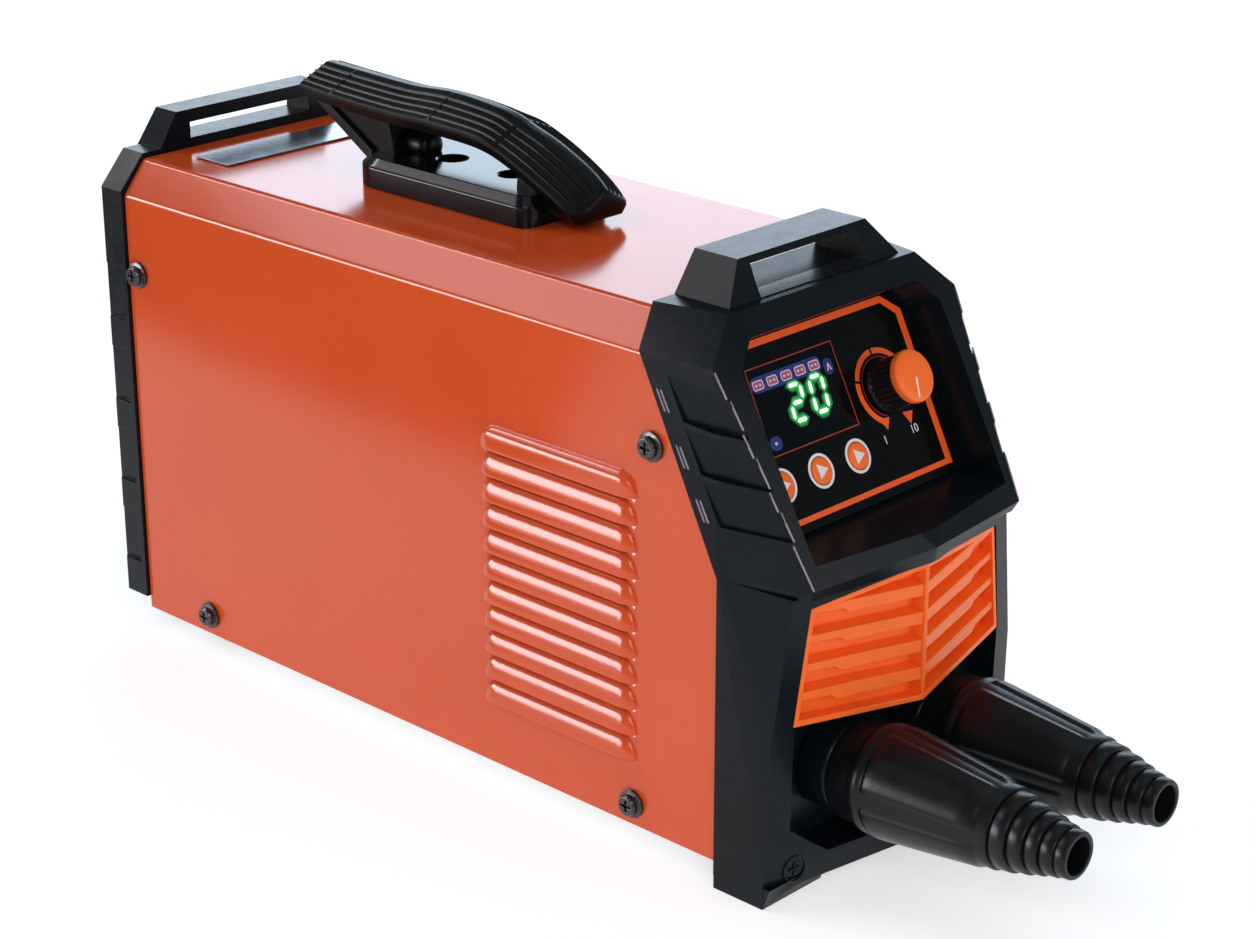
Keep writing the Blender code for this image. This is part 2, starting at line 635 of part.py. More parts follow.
def rear_bezel():
    bezel = solid("rear_bezel", hull(rear_points(0.0, 0.0)), BLACK_PLASTIC)
    guard = both_sides([(46.0, REAR_Y + 0.6, BEZEL_TOP - 2), (46.0, 212.0, BEZEL_TOP - 2),
                        (36.5, REAR_Y + 0.6, GUARD_TOP), (36.5, 210.0, GUARD_TOP)])
    add(bezel, "rear_guard", hull(guard))
    cut(bezel, "rear_room", hull(rear_points(SIDE_WALL, 5.0)))
    cut(bezel, "rear_guard_slot", block((-30.0, 190, 197.2), (30.0, 220, 203.4)))
    switch_hole = block((SWITCH_X - 13.8, 190, INLET_Z - 11.2), (SWITCH_X + 13.8, 220, INLET_Z + 11.2))
    cut(bezel, "rear_openings", together(
        along_y(tube(FAN_BORE, -220, -190, 40), 0, FAN_Z),
        switch_hole,
        along_y(tube(8.2, -220, -190), GLAND_X, INLET_Z),
        along_y(tube(2.7, -220, -190, 16), STUD_X, STUD_Z)))
    pockets = [block((side * 66 - 2.6, 200.0, low), (side * 66 + 2.6, 217, low + 22))
               for side in (1, -1) for low in (28, 62, 96, 130)]
    cut(bezel, "rear_pockets", together(*pockets))
    tongues = [block((side * 59.7 - 2.1, 184, 141), (side * 59.7 + 2.1, 205, 160)) for side in (1, -1)]
    add(bezel, "rear_tongues", together(*tongues))
    cut(bezel, "rear_screw_holes", side_holes(SCREW_BORE, ("rear_upper",)))


def fan_frame():
    half = FAN_SIZE / 2
    body = block((-half, FAN_REAR_Y - FAN_DEPTH, FAN_Z - half), (half, FAN_REAR_Y, FAN_Z + half))
    frame = solid("fan_frame", body, FERRITE)
    cut(frame, "fan_bore", along_y(tube(FAN_BORE, -220, -150, 40), 0, FAN_Z))
    add(frame, "fan_motor_seat", along_y(tube(15.0, -FAN_REAR_Y, 4 - FAN_REAR_Y), 0, FAN_Z))
    for turn in range(4):
        bar = block((-2, FAN_REAR_Y - 3, 10), (2, FAN_REAR_Y, FAN_BORE + 2))
        angle = Matrix.Rotation(math.radians(45 + 90 * turn), 4, "Y")
        add(frame, f"fan_spoke_{turn}", moved(bar, Matrix.Translation((0, 0, FAN_Z)) @ angle))
    cut(frame, "fan_bearing", along_y(tube(2.3, 1.5 - FAN_REAR_Y, 6 - FAN_REAR_Y, 16), 0, FAN_Z))


def fan_rotor():
    hub = [(0, 2.0), (1.8, 2.0), (1.8, 5.0), (14.5, 5.0), (14.5, 21.0), (13.5, 22.0), (0, 22.0)]
    rotor = solid("fan_rotor", turned(hub), FERRITE, origin=(0, FAN_REAR_Y, FAN_Z),
                  matrix=Matrix.Rotation(math.radians(90), 4, "X"))
    blade_count, blade_thick, blade_depth = 7, 1.8, 13.0
    for i in range(blade_count):
        points = []
        for x, z, lean in ((-4.5, 13.0, 7.0), (-8.5, 35.5, 12.0)):
            for depth in (0, 1):
                for across in (x, x + blade_thick):
                    points.append((across + lean * depth, FAN_REAR_Y - 7 - depth * blade_depth, z))
        turn = Matrix.Translation((0, 0, FAN_Z)) @ Matrix.Rotation(math.tau * i / blade_count, 4, "Y")
        add(rotor, f"fan_blade_{i}", moved(hull(points), turn))


def fan_guard():
    out = -REAR_FACE_Y - GAP      # heights count towards the front, so the guard stands behind this
    rim = turned([(38.0, out - 2.4), (42.0, out - 2.4), (42.0, out), (38.0, out)])
    guard = solid("fan_guard", along_y(rim, 0, FAN_Z), BLACK_PLASTIC)
    for i, radius in enumerate((12.0, 21.0, 30.0)):
        near, far = radius - 1.1, radius + 1.1
        ring = turned([(near, out - 2.2), (far, out - 2.2), (far, out - 0.4), (near, out - 0.4)], 20)
        add(guard, f"guard_ring_{i}", along_y(ring, 0, FAN_Z))
    for i in range(4):
        bar = block((-1.2, -out + 0.2, 10), (1.2, -out + 2.0, 39.5))
        turn = Matrix.Translation((0, 0, FAN_Z)) @ Matrix.Rotation(math.radians(90 * i), 4, "Y")
        add(guard, f"guard_bar_{i}", moved(bar, turn))


def switch_block(half_w, half_h, near, far):
    """A block about the switch's centre, from `near` to `far` behind the rear bezel's face."""
    back = REAR_FACE_Y + GAP
    return block((SWITCH_X - half_w, back + near, INLET_Z - half_h),
                 (SWITCH_X + half_w, back + far, INLET_Z + half_h))


def power_switch():
    housing = solid("switch_housing", switch_block(15.5, 13.0, 0.0, 2.2), BLACK_PLASTIC)
    add(housing, "switch_body", switch_block(13.4, 10.8, -24.0, 1.0))
    cut(housing, "switch_well", switch_block(11.6, 9.2, -9.0, 5.0))
    face = [(2.6, -8.2), (1.4, 0.0), (2.6, 8.2), (0.0, 8.2), (-4.2, 3.0), (-4.2, -3.0), (0.0, -8.2)]
    solid("switch_rocker", prism("X", face, -11.0, 11.0), BLACK_PLASTIC,
          origin=(SWITCH_X, REAR_FACE_Y + GAP, INLET_Z), matrix=Matrix.Rotation(math.radians(8), 4, "X"))


def cable_gland():
    back = -REAR_FACE_Y - GAP
    thread = [(5.0, back + 14), (7.9, back + 14), (7.9, back), (11.5, back), (11.5, back - 5),
              (7.0, back - 5), (7.0, back - 11.5), (5.0, back - 11.5)]
    solid("gland_body", along_y(turned(thread), GLAND_X, INLET_Z), FERRITE)
    nut = [(7.3, back - 5.3), (11.0, back - 5.3), (11.0, back - 11.5), (9.0, -GLAND_END_Y),
           (5.0, -GLAND_END_Y), (5.0, back - 12.0), (7.3, back - 12.0)]
    solid("gland_nut", along_y(turned(nut), GLAND_X, INLET_Z), BLACK_PLASTIC)


def earth_stud():
    back = -REAR_FACE_Y - GAP
    end = 12 - REAR_FACE_Y
    stud = [(0, end), (2.4, end), (2.4, back), (5.0, back), (5.0, back - 4), (2.4, back - 4),
            (2.4, back - 8), (0, back - 8)]
    solid("earth_stud", along_y(turned(stud, 18), STUD_X, STUD_Z), BRASS)


# ---------------------------------------------------------------- handle

def handle_band():
    """The grip: a roof-shaped channel that dips from its high rear tip to the nose at the front. Each
    station is (y, underside, edge, ridge, half width)."""
    stations = [
        (148.0, 219.4, 224.6, 230.6, 15.5), (131.0, 218.0, 223.4, 230.0, 15.5),
        (101.0, 216.8, 222.3, 229.2, 15.5), (80.0, 216.8, 222.4, 230.2, 15.5),
        (60.0, 216.4, 222.0, 229.0, 15.7), (49.0, 215.2, 221.0, 227.4, 15.8),
        (40.0, 212.6, 218.4, 224.2, 15.8), (30.0, 208.4, 214.4, 221.2, 15.6),
        (20.0, 203.0, 209.6, 217.2, 15.0), (12.0, 198.6, 205.4, 213.4, 14.0),
        (6.0, 196.4, 202.0, 209.4, 12.2), (2.6, 197.6, 200.6, 205.6, 9.6),
    ]
    bm = bmesh.new()
    loops = []
    for y, low, edge, ridge, half in stations:
        outer = [(-half, low), (-half, edge), (-half * 0.3, ridge),
                 (half * 0.3, ridge), (half, edge), (half, low)]
        channel = [(half - 3.0, low), (half - 3.5, edge - 1.5), (3.5 - half, edge - 1.5), (3.0 - half, low)]
        loops.append([bm.verts.new((x, y, z)) for x, z in outer + channel])
    for near, far in zip(loops, loops[1:]):
        for i in range(len(near)):
            j = (i + 1) % len(near)
            bm.faces.new((near[i], near[j], far[j], far[i]))
    bm.faces.new(loops[0])
    bm.faces.new(loops[-1])
    return bm


def handle():
    base_low = COVER_TOP + GAP
    foot = [(-22, 105), (-22, 28), (-20.5, 23.4), (-16, 20.8), (16, 20.8), (20.5, 23.4), (22, 28),
            (22, 105), (16, 114), (-16, 114)]
    shoulder_z, middle_y = 201.6, 66.0
    grip = solid("handle", prism("Z", foot, base_low, shoulder_z), BLACK_PLASTIC)
    shoulder = [(x * 0.88, middle_y + (y - middle_y) * 0.95, HANDLE_BASE_TOP) for x, y in foot]
    add(grip, "handle_plateau", hull(shoulder + [(x, y, shoulder_z - 0.4) for x, y in foot]))
    add(grip, "handle_band", handle_band())
    nose = both_sides([(12.5, 36, base_low + 6), (12.5, 22, base_low + 4), (10.5, 12, base_low + 2.4),
                       (8.0, 5.5, base_low + 3.2), (12.0, 14, 206), (13.0, 34, 214)])
    add(grip, "handle_nose", hull(nose))
    strut = both_sides([(12.0, 113, 201), (12.0, 106, 203.5), (13.4, 147.5, 222), (13.4, 138, 221)])
    add(grip, "handle_strut", hull(strut))
    boss = turned([(0, 0), (4.4, 0), (6.0, 1.6), (6.0, 30), (0, 30)], 20)
    add(grip, "handle_boss", along_y(boss, 0, 208.0, 118))
    bores = []
    for y in HANDLE_SCREW_YS:
        bore = [(0, 185), (2.6, 185), (2.6, HANDLE_SEAT), (5.6, HANDLE_SEAT), (5.6, 212), (0, 212)]
        bores.append(moved(turned(bore, 20), Matrix.Translation((0, y, 0))))
    cut(grip, "handle_bores", together(*bores))


def handle_screws():
    profile = [(0, 3.0), (3.6, 3.0), (4.6, 2.2), (4.6, 0.3), (2.3, 0.3), (2.3, -8.0), (0, -8.0)]
    for name, y in zip(("front", "rear"), HANDLE_SCREW_YS):
        solid(f"handle_screw_{name}", turned(profile, 18), ZINC, origin=(0, y, HANDLE_SEAT))


# ---------------------------------------------------------------- inside

INNER_FLOOR = COVER_LOW + GAP + SHEET + GAP
MAIN_BOARD_TOP = INNER_FLOOR + 9.6 + GAP


def main_board():
    top = MAIN_BOARD_TOP - GAP
    board = solid("main_board", block((-56, -60, top - BOARD_THICK), (56, 170, top)), BOARD)
    for i, (x, y) in enumerate(((-50, -50), (50, -50), (-50, 160), (50, 160))):
        add(board, f"board_spacer_{i}", block((x - 3, y - 3, INNER_FLOOR), (x + 3, y + 3, top - 1)))


def heatsinks():
    fin_count, fin_pitch, slot_high, web = 7, 8.0, 4.0, 2.5
    for name, side in (("left", -1), ("right", 1)):
        low_x, high_x = sorted((side * 30, side * 54))
        body = block((low_x, -20, MAIN_BOARD_TOP), (high_x, 120, MAIN_BOARD_TOP + 62))
        sink = solid(f"heatsink_{name}", body, ALUMINIUM)
        start_x, end_x = (low_x + web, high_x + 1) if side > 0 else (low_x - 1, high_x - web)
        slots = []
        for i in range(fin_count):
            z = MAIN_BOARD_TOP + 6 + fin_pitch * i
            slots.append(block((start_x, -25, z), (end_x, 125, z + slot_high)))
        cut(sink, f"sink_slots_{name}", together(*slots))


def power_parts():
    z = MAIN_BOARD_TOP
    core = solid("transformer", block((-22, 60, z), (22, 112, z + 44)), FERRITE)
    windows = [block((x, 55, z + 8), (x + 7, 120, z + 36)) for x in (-14, 7)]
    cut(core, "transformer_windows", together(*windows))
    ring = turned([(10, 0), (22, 0), (22, 16), (10, 16)], 28)
    solid("output_choke", along_y(ring, 0, z + 23, 46), COPPER)
    for i, y in enumerate((-51, -19, 11)):
        can = turned([(0, 0), (11.4, 0), (12, 0.6), (12, 41.4), (11.4, 42), (0, 42)], 16)
        solid(f"capacitor_{i + 1}", moved(can, Matrix.Translation((0, y, z))), CAN)
    solid("rectifier", block((-24, 124, z), (8, 156, z + 10)), FERRITE)


def busbars():
    for name, side in (("minus", -1), ("plus", 1)):
        plate = [(-101.5, 25), (-99.5, 25), (-99.5, 52), (-101.5, 52)]
        busbar = solid(f"busbar_{name}", prism("X", plate, side * 14, side * 34), COPPER)
        run = [(-100.5, 50), (-100.5, 52), (-50, 52), (-50, 50)]
        add(busbar, f"busbar_run_{name}", prism("X", run, side * 20, side * 32))
        cut(busbar, f"busbar_hole_{name}", along_y(tube(8.3, 90, 110), side * SOCKET_X, SOCKET_Z))


cover()
base_pan()
rear_feet()
side_screws()
top_plate()
front_bezel()
grille()
panel_plate()
display()
control_board()
potentiometer()
knob()
buttons()
outlets()
rear_bezel()
fan_frame()
fan_rotor()
fan_guard()
power_switch()
cable_gland()
earth_stud()
handle()
handle_screws()
main_board()
heatsinks()
power_parts()
busbars()
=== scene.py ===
"""The looks of the stick welding inverter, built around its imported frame.

Metres, +Z up, the front towards -Y. Shapes are drawn in millimetres and scaled once, in piece().
"""

import json
import math

import bmesh
import bpy
from mathutils import Matrix, Vector


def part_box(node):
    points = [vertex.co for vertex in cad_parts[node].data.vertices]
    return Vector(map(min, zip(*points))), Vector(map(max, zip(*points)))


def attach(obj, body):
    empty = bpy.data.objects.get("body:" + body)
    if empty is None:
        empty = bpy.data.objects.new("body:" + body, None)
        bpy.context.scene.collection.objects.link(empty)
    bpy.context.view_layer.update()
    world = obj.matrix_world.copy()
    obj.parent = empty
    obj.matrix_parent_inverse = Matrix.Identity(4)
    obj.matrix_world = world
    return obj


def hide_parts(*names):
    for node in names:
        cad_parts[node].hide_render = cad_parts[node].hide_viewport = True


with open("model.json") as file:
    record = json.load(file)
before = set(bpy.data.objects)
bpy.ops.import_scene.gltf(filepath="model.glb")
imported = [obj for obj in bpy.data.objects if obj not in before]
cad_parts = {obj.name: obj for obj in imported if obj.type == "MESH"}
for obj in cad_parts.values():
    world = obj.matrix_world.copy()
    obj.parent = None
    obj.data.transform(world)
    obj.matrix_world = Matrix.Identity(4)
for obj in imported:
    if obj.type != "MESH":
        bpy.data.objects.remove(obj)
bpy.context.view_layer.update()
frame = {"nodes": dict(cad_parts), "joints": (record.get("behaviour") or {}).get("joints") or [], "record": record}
NODES = frame["nodes"]
SLOT_OF = {row["node"]: row["material_slot"] for row in frame["record"]["subparts"]}
BODY_OF = {node: body for body, nodes in frame["record"]["behaviour"]["bodies"].items() for node in nodes}
MM = 0.001


def box(node):
    """A node's lowest and highest corner, in millimetres."""
    low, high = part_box(node)
    return low / MM, high / MM


def joint(name):
    return next(row for row in frame["joints"] if row["name"] == name)


def mesh_of(name, bm):
    mesh = bpy.data.meshes.new(name)
    bm.to_mesh(mesh)
    bm.free()
    return mesh


def linked(name, data):
    """A new object in the scene."""
    made = bpy.data.objects.new(name, data)
    bpy.context.scene.collection.objects.link(made)
    return made


# ---------------------------------------------------------------- camera and light

def look_at(obj, target):
    obj.rotation_euler = (Vector(target) - obj.location).to_track_quat("-Z", "Y").to_euler()


CAMERA_PLACE = (-0.69665, -0.67012, 0.47802)
CAMERA_DOWN, CAMERA_TURN = 21.19, -46.46      # degrees below level, and degrees about Z from facing +Y
LENS_MM, SENSOR_MM = 81.9, 36.0


def camera():
    data = bpy.data.cameras.new("camera")
    data.sensor_width = SENSOR_MM
    data.lens = LENS_MM
    made = linked("camera", data)
    made.location = CAMERA_PLACE
    made.rotation_euler = (math.radians(90 - CAMERA_DOWN), 0.0, math.radians(CAMERA_TURN))
    bpy.context.scene.camera = made


def softbox(name, place, target, width, height, radiance, colour):
    """An area light of that size and brightness. Its power follows from its area."""
    data = bpy.data.lights.new(name, "AREA")
    data.shape = "RECTANGLE"
    data.size, data.size_y = width, height
    data.energy = radiance * width * height * math.pi
    data.color = colour
    made = linked(name, data)
    made.location = place
    look_at(made, target)
    return made


def studio_object(name, bm, grey, roughness):
    """A flat grey object of the studio, and its shader."""
    mesh = mesh_of(name, bm)
    made = linked(name, mesh)
    plain = bpy.data.materials.new(name)
    plain.use_nodes = True
    shader = plain.node_tree.nodes["Principled BSDF"]
    shader.inputs["Base Color"].default_value = (grey, grey, grey, 1.0)
    shader.inputs["Roughness"].default_value = roughness
    mesh.materials.append(plain)
    return made, shader


def dark_card():
    """A dark card on the floor to the left, seen only in glossy reflections."""
    bm = bmesh.new()
    near_x, far_x, height = -0.287, -0.62, 0.001
    outline = [(near_x, 0.20), (far_x, 0.42), (far_x, 1.05), (near_x, 0.78)]
    bm.faces.new([bm.verts.new((x, y, height)) for x, y in outline])
    made, shader = studio_object("dark_card", bm, 0.01, 1.0)
    made.visible_camera = False
    made.visible_diffuse = False
    made.visible_shadow = False
    shader.inputs["Specular IOR Level"].default_value = 0.0


def studio():
    softbox("key", (-1.5, -1.5, 1.28), (0, 0, 0.1), 1.2, 1.1, 3.7, (1.0, 0.98, 0.95))
    softbox("front", (0.6, -1.9, 0.5), (0, 0, 0.1), 1.2, 0.8, 2.7, (1.0, 0.97, 0.94))
    softbox("back", (2.08, 1.32, 0.92), (0, 0, 0.15), 2.5, 0.95, 3.6, (0.70, 0.85, 1.0))
    softbox("fold_light", (-0.95, 1.45, 1.65), (0, 0, 0.18), 1.1, 0.8, 3.2, (1.0, 0.94, 0.98))
    glint = softbox("fold_glint", (-0.5, 1.75, 1.7), (0, 0.05, 0.18), 0.3, 1.2, 11.0, (1.0, 0.96, 1.0))
    glint.visible_diffuse = False
    softbox("top", (0.2, -0.3, 1.9), (0, 0, 0), 1.5, 1.5, 0.5, (0.95, 0.98, 1.0))
    strip = softbox("louvre_strip", (-1.75, 1.55, 0.33), (0, 0, 0.1), 1.9, 0.54, 15.0, (1.0, 0.95, 0.98))
    strip.visible_diffuse = False
    world = bpy.data.worlds.new("studio")
    world.use_nodes = True
    background = world.node_tree.nodes["Background"]
    background.inputs["Color"].default_value = (0.80, 0.90, 1.0, 1.0)
    background.inputs["Strength"].default_value = 0.22
    bpy.context.scene.world = world
    bpy.context.scene.view_settings.view_transform = "Standard"


FLOOR_REACH, FLOOR_GAP, FLOOR_GLOW = 6.0, 0.0002, 0.56


def floor():
    """A pale floor just under the feet. Its own faint glow keeps it close to white."""
    bm = bmesh.new()
    bmesh.ops.create_grid(bm, x_segments=1, y_segments=1, size=FLOOR_REACH)
    made, shader = studio_object("floor", bm, 0.86, 0.9)
    made.location.z = -FLOOR_GAP
    shader.inputs["Emission Color"].default_value = (1.0, 1.0, 1.0, 1.0)
    shader.inputs["Emission Strength"].default_value = FLOOR_GLOW


# ---------------------------------------------------------------- materials

def noise(tree, place, scale, detail=2.0):
    node = tree.nodes.new("ShaderNodeTexNoise")
    node.inputs["Scale"].default_value = scale
    node.inputs["Detail"].default_value = detail
    tree.links.new(place, node.inputs["Vector"])
    return node.outputs["Fac"]


NOISE_LOW, NOISE_HIGH = 0.32, 0.68            # noise seldom leaves this range


def ranged(tree, value, low, high):
    """Noise, which stays near its middle, stretched to run from low to high."""
    node = tree.nodes.new("ShaderNodeMapRange")
    node.inputs["From Min"].default_value = NOISE_LOW
    node.inputs["From Max"].default_value = NOISE_HIGH
    node.inputs["To Min"].default_value = low
    node.inputs["To Max"].default_value = high
    tree.links.new(value, node.inputs["Value"])
    return node.outputs["Result"]


def blend_colours(tree, factor, first, second):
    node = tree.nodes.new("ShaderNodeMix")
    node.data_type = "RGBA"
    node.inputs["A"].default_value = (*first, 1.0)
    node.inputs["B"].default_value = (*second, 1.0)
    tree.links.new(factor, node.inputs["Factor"])
    return node.outputs["Result"]


def bumped(tree, shader, layers):
    """Layers of noise, each (place, scale, depth in millimetres), stacked as bump."""
    last = None
    for place, scale, depth in layers:
        node = tree.nodes.new("ShaderNodeBump")
        node.inputs["Strength"].default_value = 1.0
        node.inputs["Distance"].default_value = depth * MM
        tree.links.new(noise(tree, place, scale), node.inputs["Height"])
        if last:
            tree.links.new(last, node.inputs["Normal"])
        last = node.outputs["Normal"]
    tree.links.new(last, shader.inputs["Normal"])


ROUGHNESS_FINER = 3.7                         # how much finer roughness varies than colour


def finish(name, colour, roughness, tint=0.1, tint_scale=30.0, grain=(), metallic=0.0, stretch=(1, 1, 1),
           settings=None):
    """A procedural material. `colour` varies by `tint`, `roughness` is (lowest, highest), and `grain`
    holds (scale, depth in millimetres) for each layer of bump."""
    made = bpy.data.materials.new(name)
    made.use_nodes = True
    tree = made.node_tree
    shader = tree.nodes["Principled BSDF"]
    place = tree.nodes.new("ShaderNodeTexCoord").outputs["Object"]
    if stretch != (1, 1, 1):
        mapping = tree.nodes.new("ShaderNodeMapping")
        mapping.inputs["Scale"].default_value = stretch
        tree.links.new(place, mapping.inputs["Vector"])
        place = mapping.outputs["Vector"]
    darker = [c * (1 - tint) for c in colour]
    lighter = [min(1.0, c * (1 + tint)) for c in colour]
    factor = ranged(tree, noise(tree, place, tint_scale, 3.0), 0.0, 1.0)
    tree.links.new(blend_colours(tree, factor, darker, lighter), shader.inputs["Base Color"])
    uneven = noise(tree, place, tint_scale * ROUGHNESS_FINER, 3.0)
    tree.links.new(ranged(tree, uneven, *roughness), shader.inputs["Roughness"])
    shader.inputs["Metallic"].default_value = metallic
    bumped(tree, shader, [(place, scale, depth) for scale, depth in grain])
    for socket, value in (settings or {}).items():
        shader.inputs[socket].default_value = value
    return made


def glowing(name, colour, glow, strength):
    """A lit segment: the light is a little uneven, as behind a printed mask."""
    made = finish(name, colour, (0.3, 0.4), grain=((2500.0, 0.01),))
    tree = made.node_tree
    shader = tree.nodes["Principled BSDF"]
    place = next(n for n in tree.nodes if n.type == "TEX_COORD").outputs["Object"]
    factor = ranged(tree, noise(tree, place, 900.0), 0.0, 1.0)
    dimmer = [c * 0.9 for c in glow]
    tree.links.new(blend_colours(tree, factor, dimmer, glow), shader.inputs["Emission Color"])
    shader.inputs["Emission Strength"].default_value = strength
    return made


PLASTIC_GRAIN = ((1500.0, 0.016), (4200.0, 0.012))
PRINT_GRAIN = ((2500.0, 0.004),)
FINISHES = {
    "orange_paint": finish(
        "orange_paint", (0.76, 0.092, 0.018), (0.13, 0.16), tint=0.03, tint_scale=18.0,
        grain=((620.0, 0.012), (1900.0, 0.004)),
        settings={"Specular IOR Level": 0.45}),
    "black_plastic": finish(
        "black_plastic", (0.0038, 0.0072, 0.0100), (0.25, 0.29), tint=0.15, tint_scale=45.0,
        grain=PLASTIC_GRAIN, settings={"Specular IOR Level": 0.15}),
    "orange_plastic": finish(
        "orange_plastic", (0.96, 0.150, 0.016), (0.34, 0.42), tint=0.05, tint_scale=60.0,
        grain=((2400.0, 0.012),),
        settings={"Specular IOR Level": 0.35, "Subsurface Weight": 0.08, "Subsurface Scale": 0.002}),
    "panel_film": finish(
        "panel_film", (0.0035, 0.0035, 0.0036), (0.12, 0.17), tint=0.2,
        grain=((900.0, 0.003),), settings={"Specular IOR Level": 0.15}),
    "display_lens": finish(
        "display_lens", (0.002, 0.003, 0.0045), (0.05, 0.08), tint=0.2, grain=((300.0, 0.002),),
        settings={"Specular IOR Level": 0.15}),
    "rubber": finish(
        "rubber", (0.0048, 0.0064, 0.0078), (0.28, 0.34), tint=0.2, tint_scale=70.0,
        grain=((900.0, 0.03), (3600.0, 0.012)), settings={"Specular IOR Level": 0.24}),
    "brass": finish(
        "brass", (0.72, 0.48, 0.18), (0.22, 0.36), metallic=1.0, grain=((1500.0, 0.01),)),
    "dark_steel": finish(
        "dark_steel", (0.075, 0.075, 0.08), (0.20, 0.34), metallic=1.0, tint=0.2, tint_scale=300.0,
        grain=((2200.0, 0.01),)),
    "zinc": finish(
        "zinc", (0.55, 0.56, 0.57), (0.28, 0.42), metallic=1.0, tint_scale=250.0,
        grain=((1800.0, 0.012),)),
    "silver_film": finish(
        "silver_film", (0.22, 0.25, 0.29), (0.16, 0.22), metallic=0.85, tint=0.05,
        grain=((1200.0, 0.004),)),
    "board": finish(
        "board", (0.015, 0.10, 0.04), (0.35, 0.5), tint=0.2, tint_scale=200.0, grain=((1400.0, 0.03),)),
    "aluminium": finish(
        "aluminium", (0.62, 0.63, 0.64), (0.3, 0.42), metallic=1.0, stretch=(1, 0.05, 1),
        grain=((3000.0, 0.01),)),
    "copper": finish(
        "copper", (0.70, 0.28, 0.14), (0.25, 0.4), metallic=1.0, grain=((1600.0, 0.02),)),
    "dark_plastic": finish(
        "dark_plastic", (0.030, 0.031, 0.034), (0.42, 0.58), tint=0.15, tint_scale=50.0,
        grain=PLASTIC_GRAIN),
    "grip_black": finish(
        "grip_black", (0.0034, 0.0038, 0.0042), (0.30, 0.34), tint=0.15, tint_scale=45.0,
        grain=PLASTIC_GRAIN, settings={"Specular IOR Level": 0.13}),
    "gloss_black": finish(
        "gloss_black", (0.0034, 0.0044, 0.0054), (0.13, 0.16), tint=0.15, tint_scale=45.0,
        grain=((1500.0, 0.005),), settings={"Specular IOR Level": 0.24}),
    "capacitor": finish("capacitor", (0.02, 0.03, 0.08), (0.28, 0.4), grain=((1200.0, 0.01),)),
}
PRINTS = {
    "orange": finish("print_orange", (0.98, 0.110, 0.010), (0.3, 0.4), tint=0.05, grain=PRINT_GRAIN),
    "white": finish("print_white", (0.78, 0.74, 0.76), (0.3, 0.4), tint=0.04, grain=PRINT_GRAIN),
    "frame_red": finish("print_red", (0.33, 0.028, 0.008), (0.3, 0.4), tint=0.08, grain=PRINT_GRAIN),
    "digit_core": glowing("digit_core", (0.5, 0.6, 0.5), (0.86, 1.0, 0.90), 1.1),
    "digit_glow": glowing("digit_glow", (0.0, 0.1, 0.01), (0.01, 0.42, 0.05), 1.0),
    "digit_halo": glowing("digit_halo", (0.0, 0.02, 0.0), (0.003, 0.16, 0.035), 1.0),
    "icon_core": glowing("icon_core", (0.3, 0.2, 0.25), (0.50, 0.24, 0.34), 0.8),
    "icon_fill": glowing("icon_fill", (0.1, 0.04, 0.06), (0.16, 0.045, 0.075), 0.9),
    "icon_halo": glowing("icon_halo", (0.0, 0.004, 0.02), (0.004, 0.016, 0.11), 1.0),
}


# ---------------------------------------------------------------- mesh tools

def piece(name, bm, body, slot, stands_for=(), look=None, sharp=32.0):
    """Scales a mesh drawn in millimetres to metres and makes it a piece that rides on `body`."""
    bmesh.ops.scale(bm, vec=(MM, MM, MM), verts=bm.verts)
    mesh = mesh_of(name, bm)
    mesh.materials.append(look or FINISHES[slot])
    mesh.shade_smooth()
    mesh.set_sharp_from_angle(angle=math.radians(sharp))
    made = linked(name, mesh)
    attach(made, body)
    if stands_for:
        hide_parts(*stands_for)
    return made


def bevelled(obj, width, segments=2, angle=28.0):
    """Rounds the edges of a finished piece. The width is in millimetres."""
    step = obj.modifiers.new("round edges", "BEVEL")
    step.width = width * MM
    step.segments = segments
    step.limit_method = "ANGLE"
    step.angle_limit = math.radians(angle)
    step.miter_outer = "MITER_ARC"
    weighted(obj)
    return obj


def weighted(obj):
    step = obj.modifiers.new("even shading", "WEIGHTED_NORMAL")
    step.keep_sharp = True
    return obj


def cad_shape(node):
    """The node's mesh in millimetres, with its triangles merged back into flat faces."""
    source = NODES[node].data
    bm = bmesh.new()
    verts = [bm.verts.new(v.co / MM) for v in source.vertices]
    for face in source.polygons:
        bm.faces.new([verts[i] for i in face.vertices])
    bmesh.ops.remove_doubles(bm, verts=bm.verts, dist=0.01)
    bmesh.ops.dissolve_limit(bm, angle_limit=math.radians(0.8), verts=bm.verts, edges=bm.edges)
    return bm


def carved(obj, cutter_bm):
    """Cuts a closed shape, drawn in millimetres, out of a piece."""
    bmesh.ops.recalc_face_normals(cutter_bm, faces=cutter_bm.faces)
    bmesh.ops.scale(cutter_bm, vec=(MM, MM, MM), verts=cutter_bm.verts)
    name = obj.name + "_cutter"
    cutter = linked(name, mesh_of(name, cutter_bm))
    cutter.hide_render = True
    step = obj.modifiers.new("carving", "BOOLEAN")
    step.object = cutter
    step.operation = "DIFFERENCE"
    return obj


def detailed(node, width, segments=2, cutter_bm=None):
    """A copy of the node with rounded edges, which stands for it."""
    made = piece(node + "_surface", cad_shape(node), BODY_OF[node], SLOT_OF[node], (node,))
    if cutter_bm:
        carved(made, cutter_bm)
    return bevelled(made, width, segments)


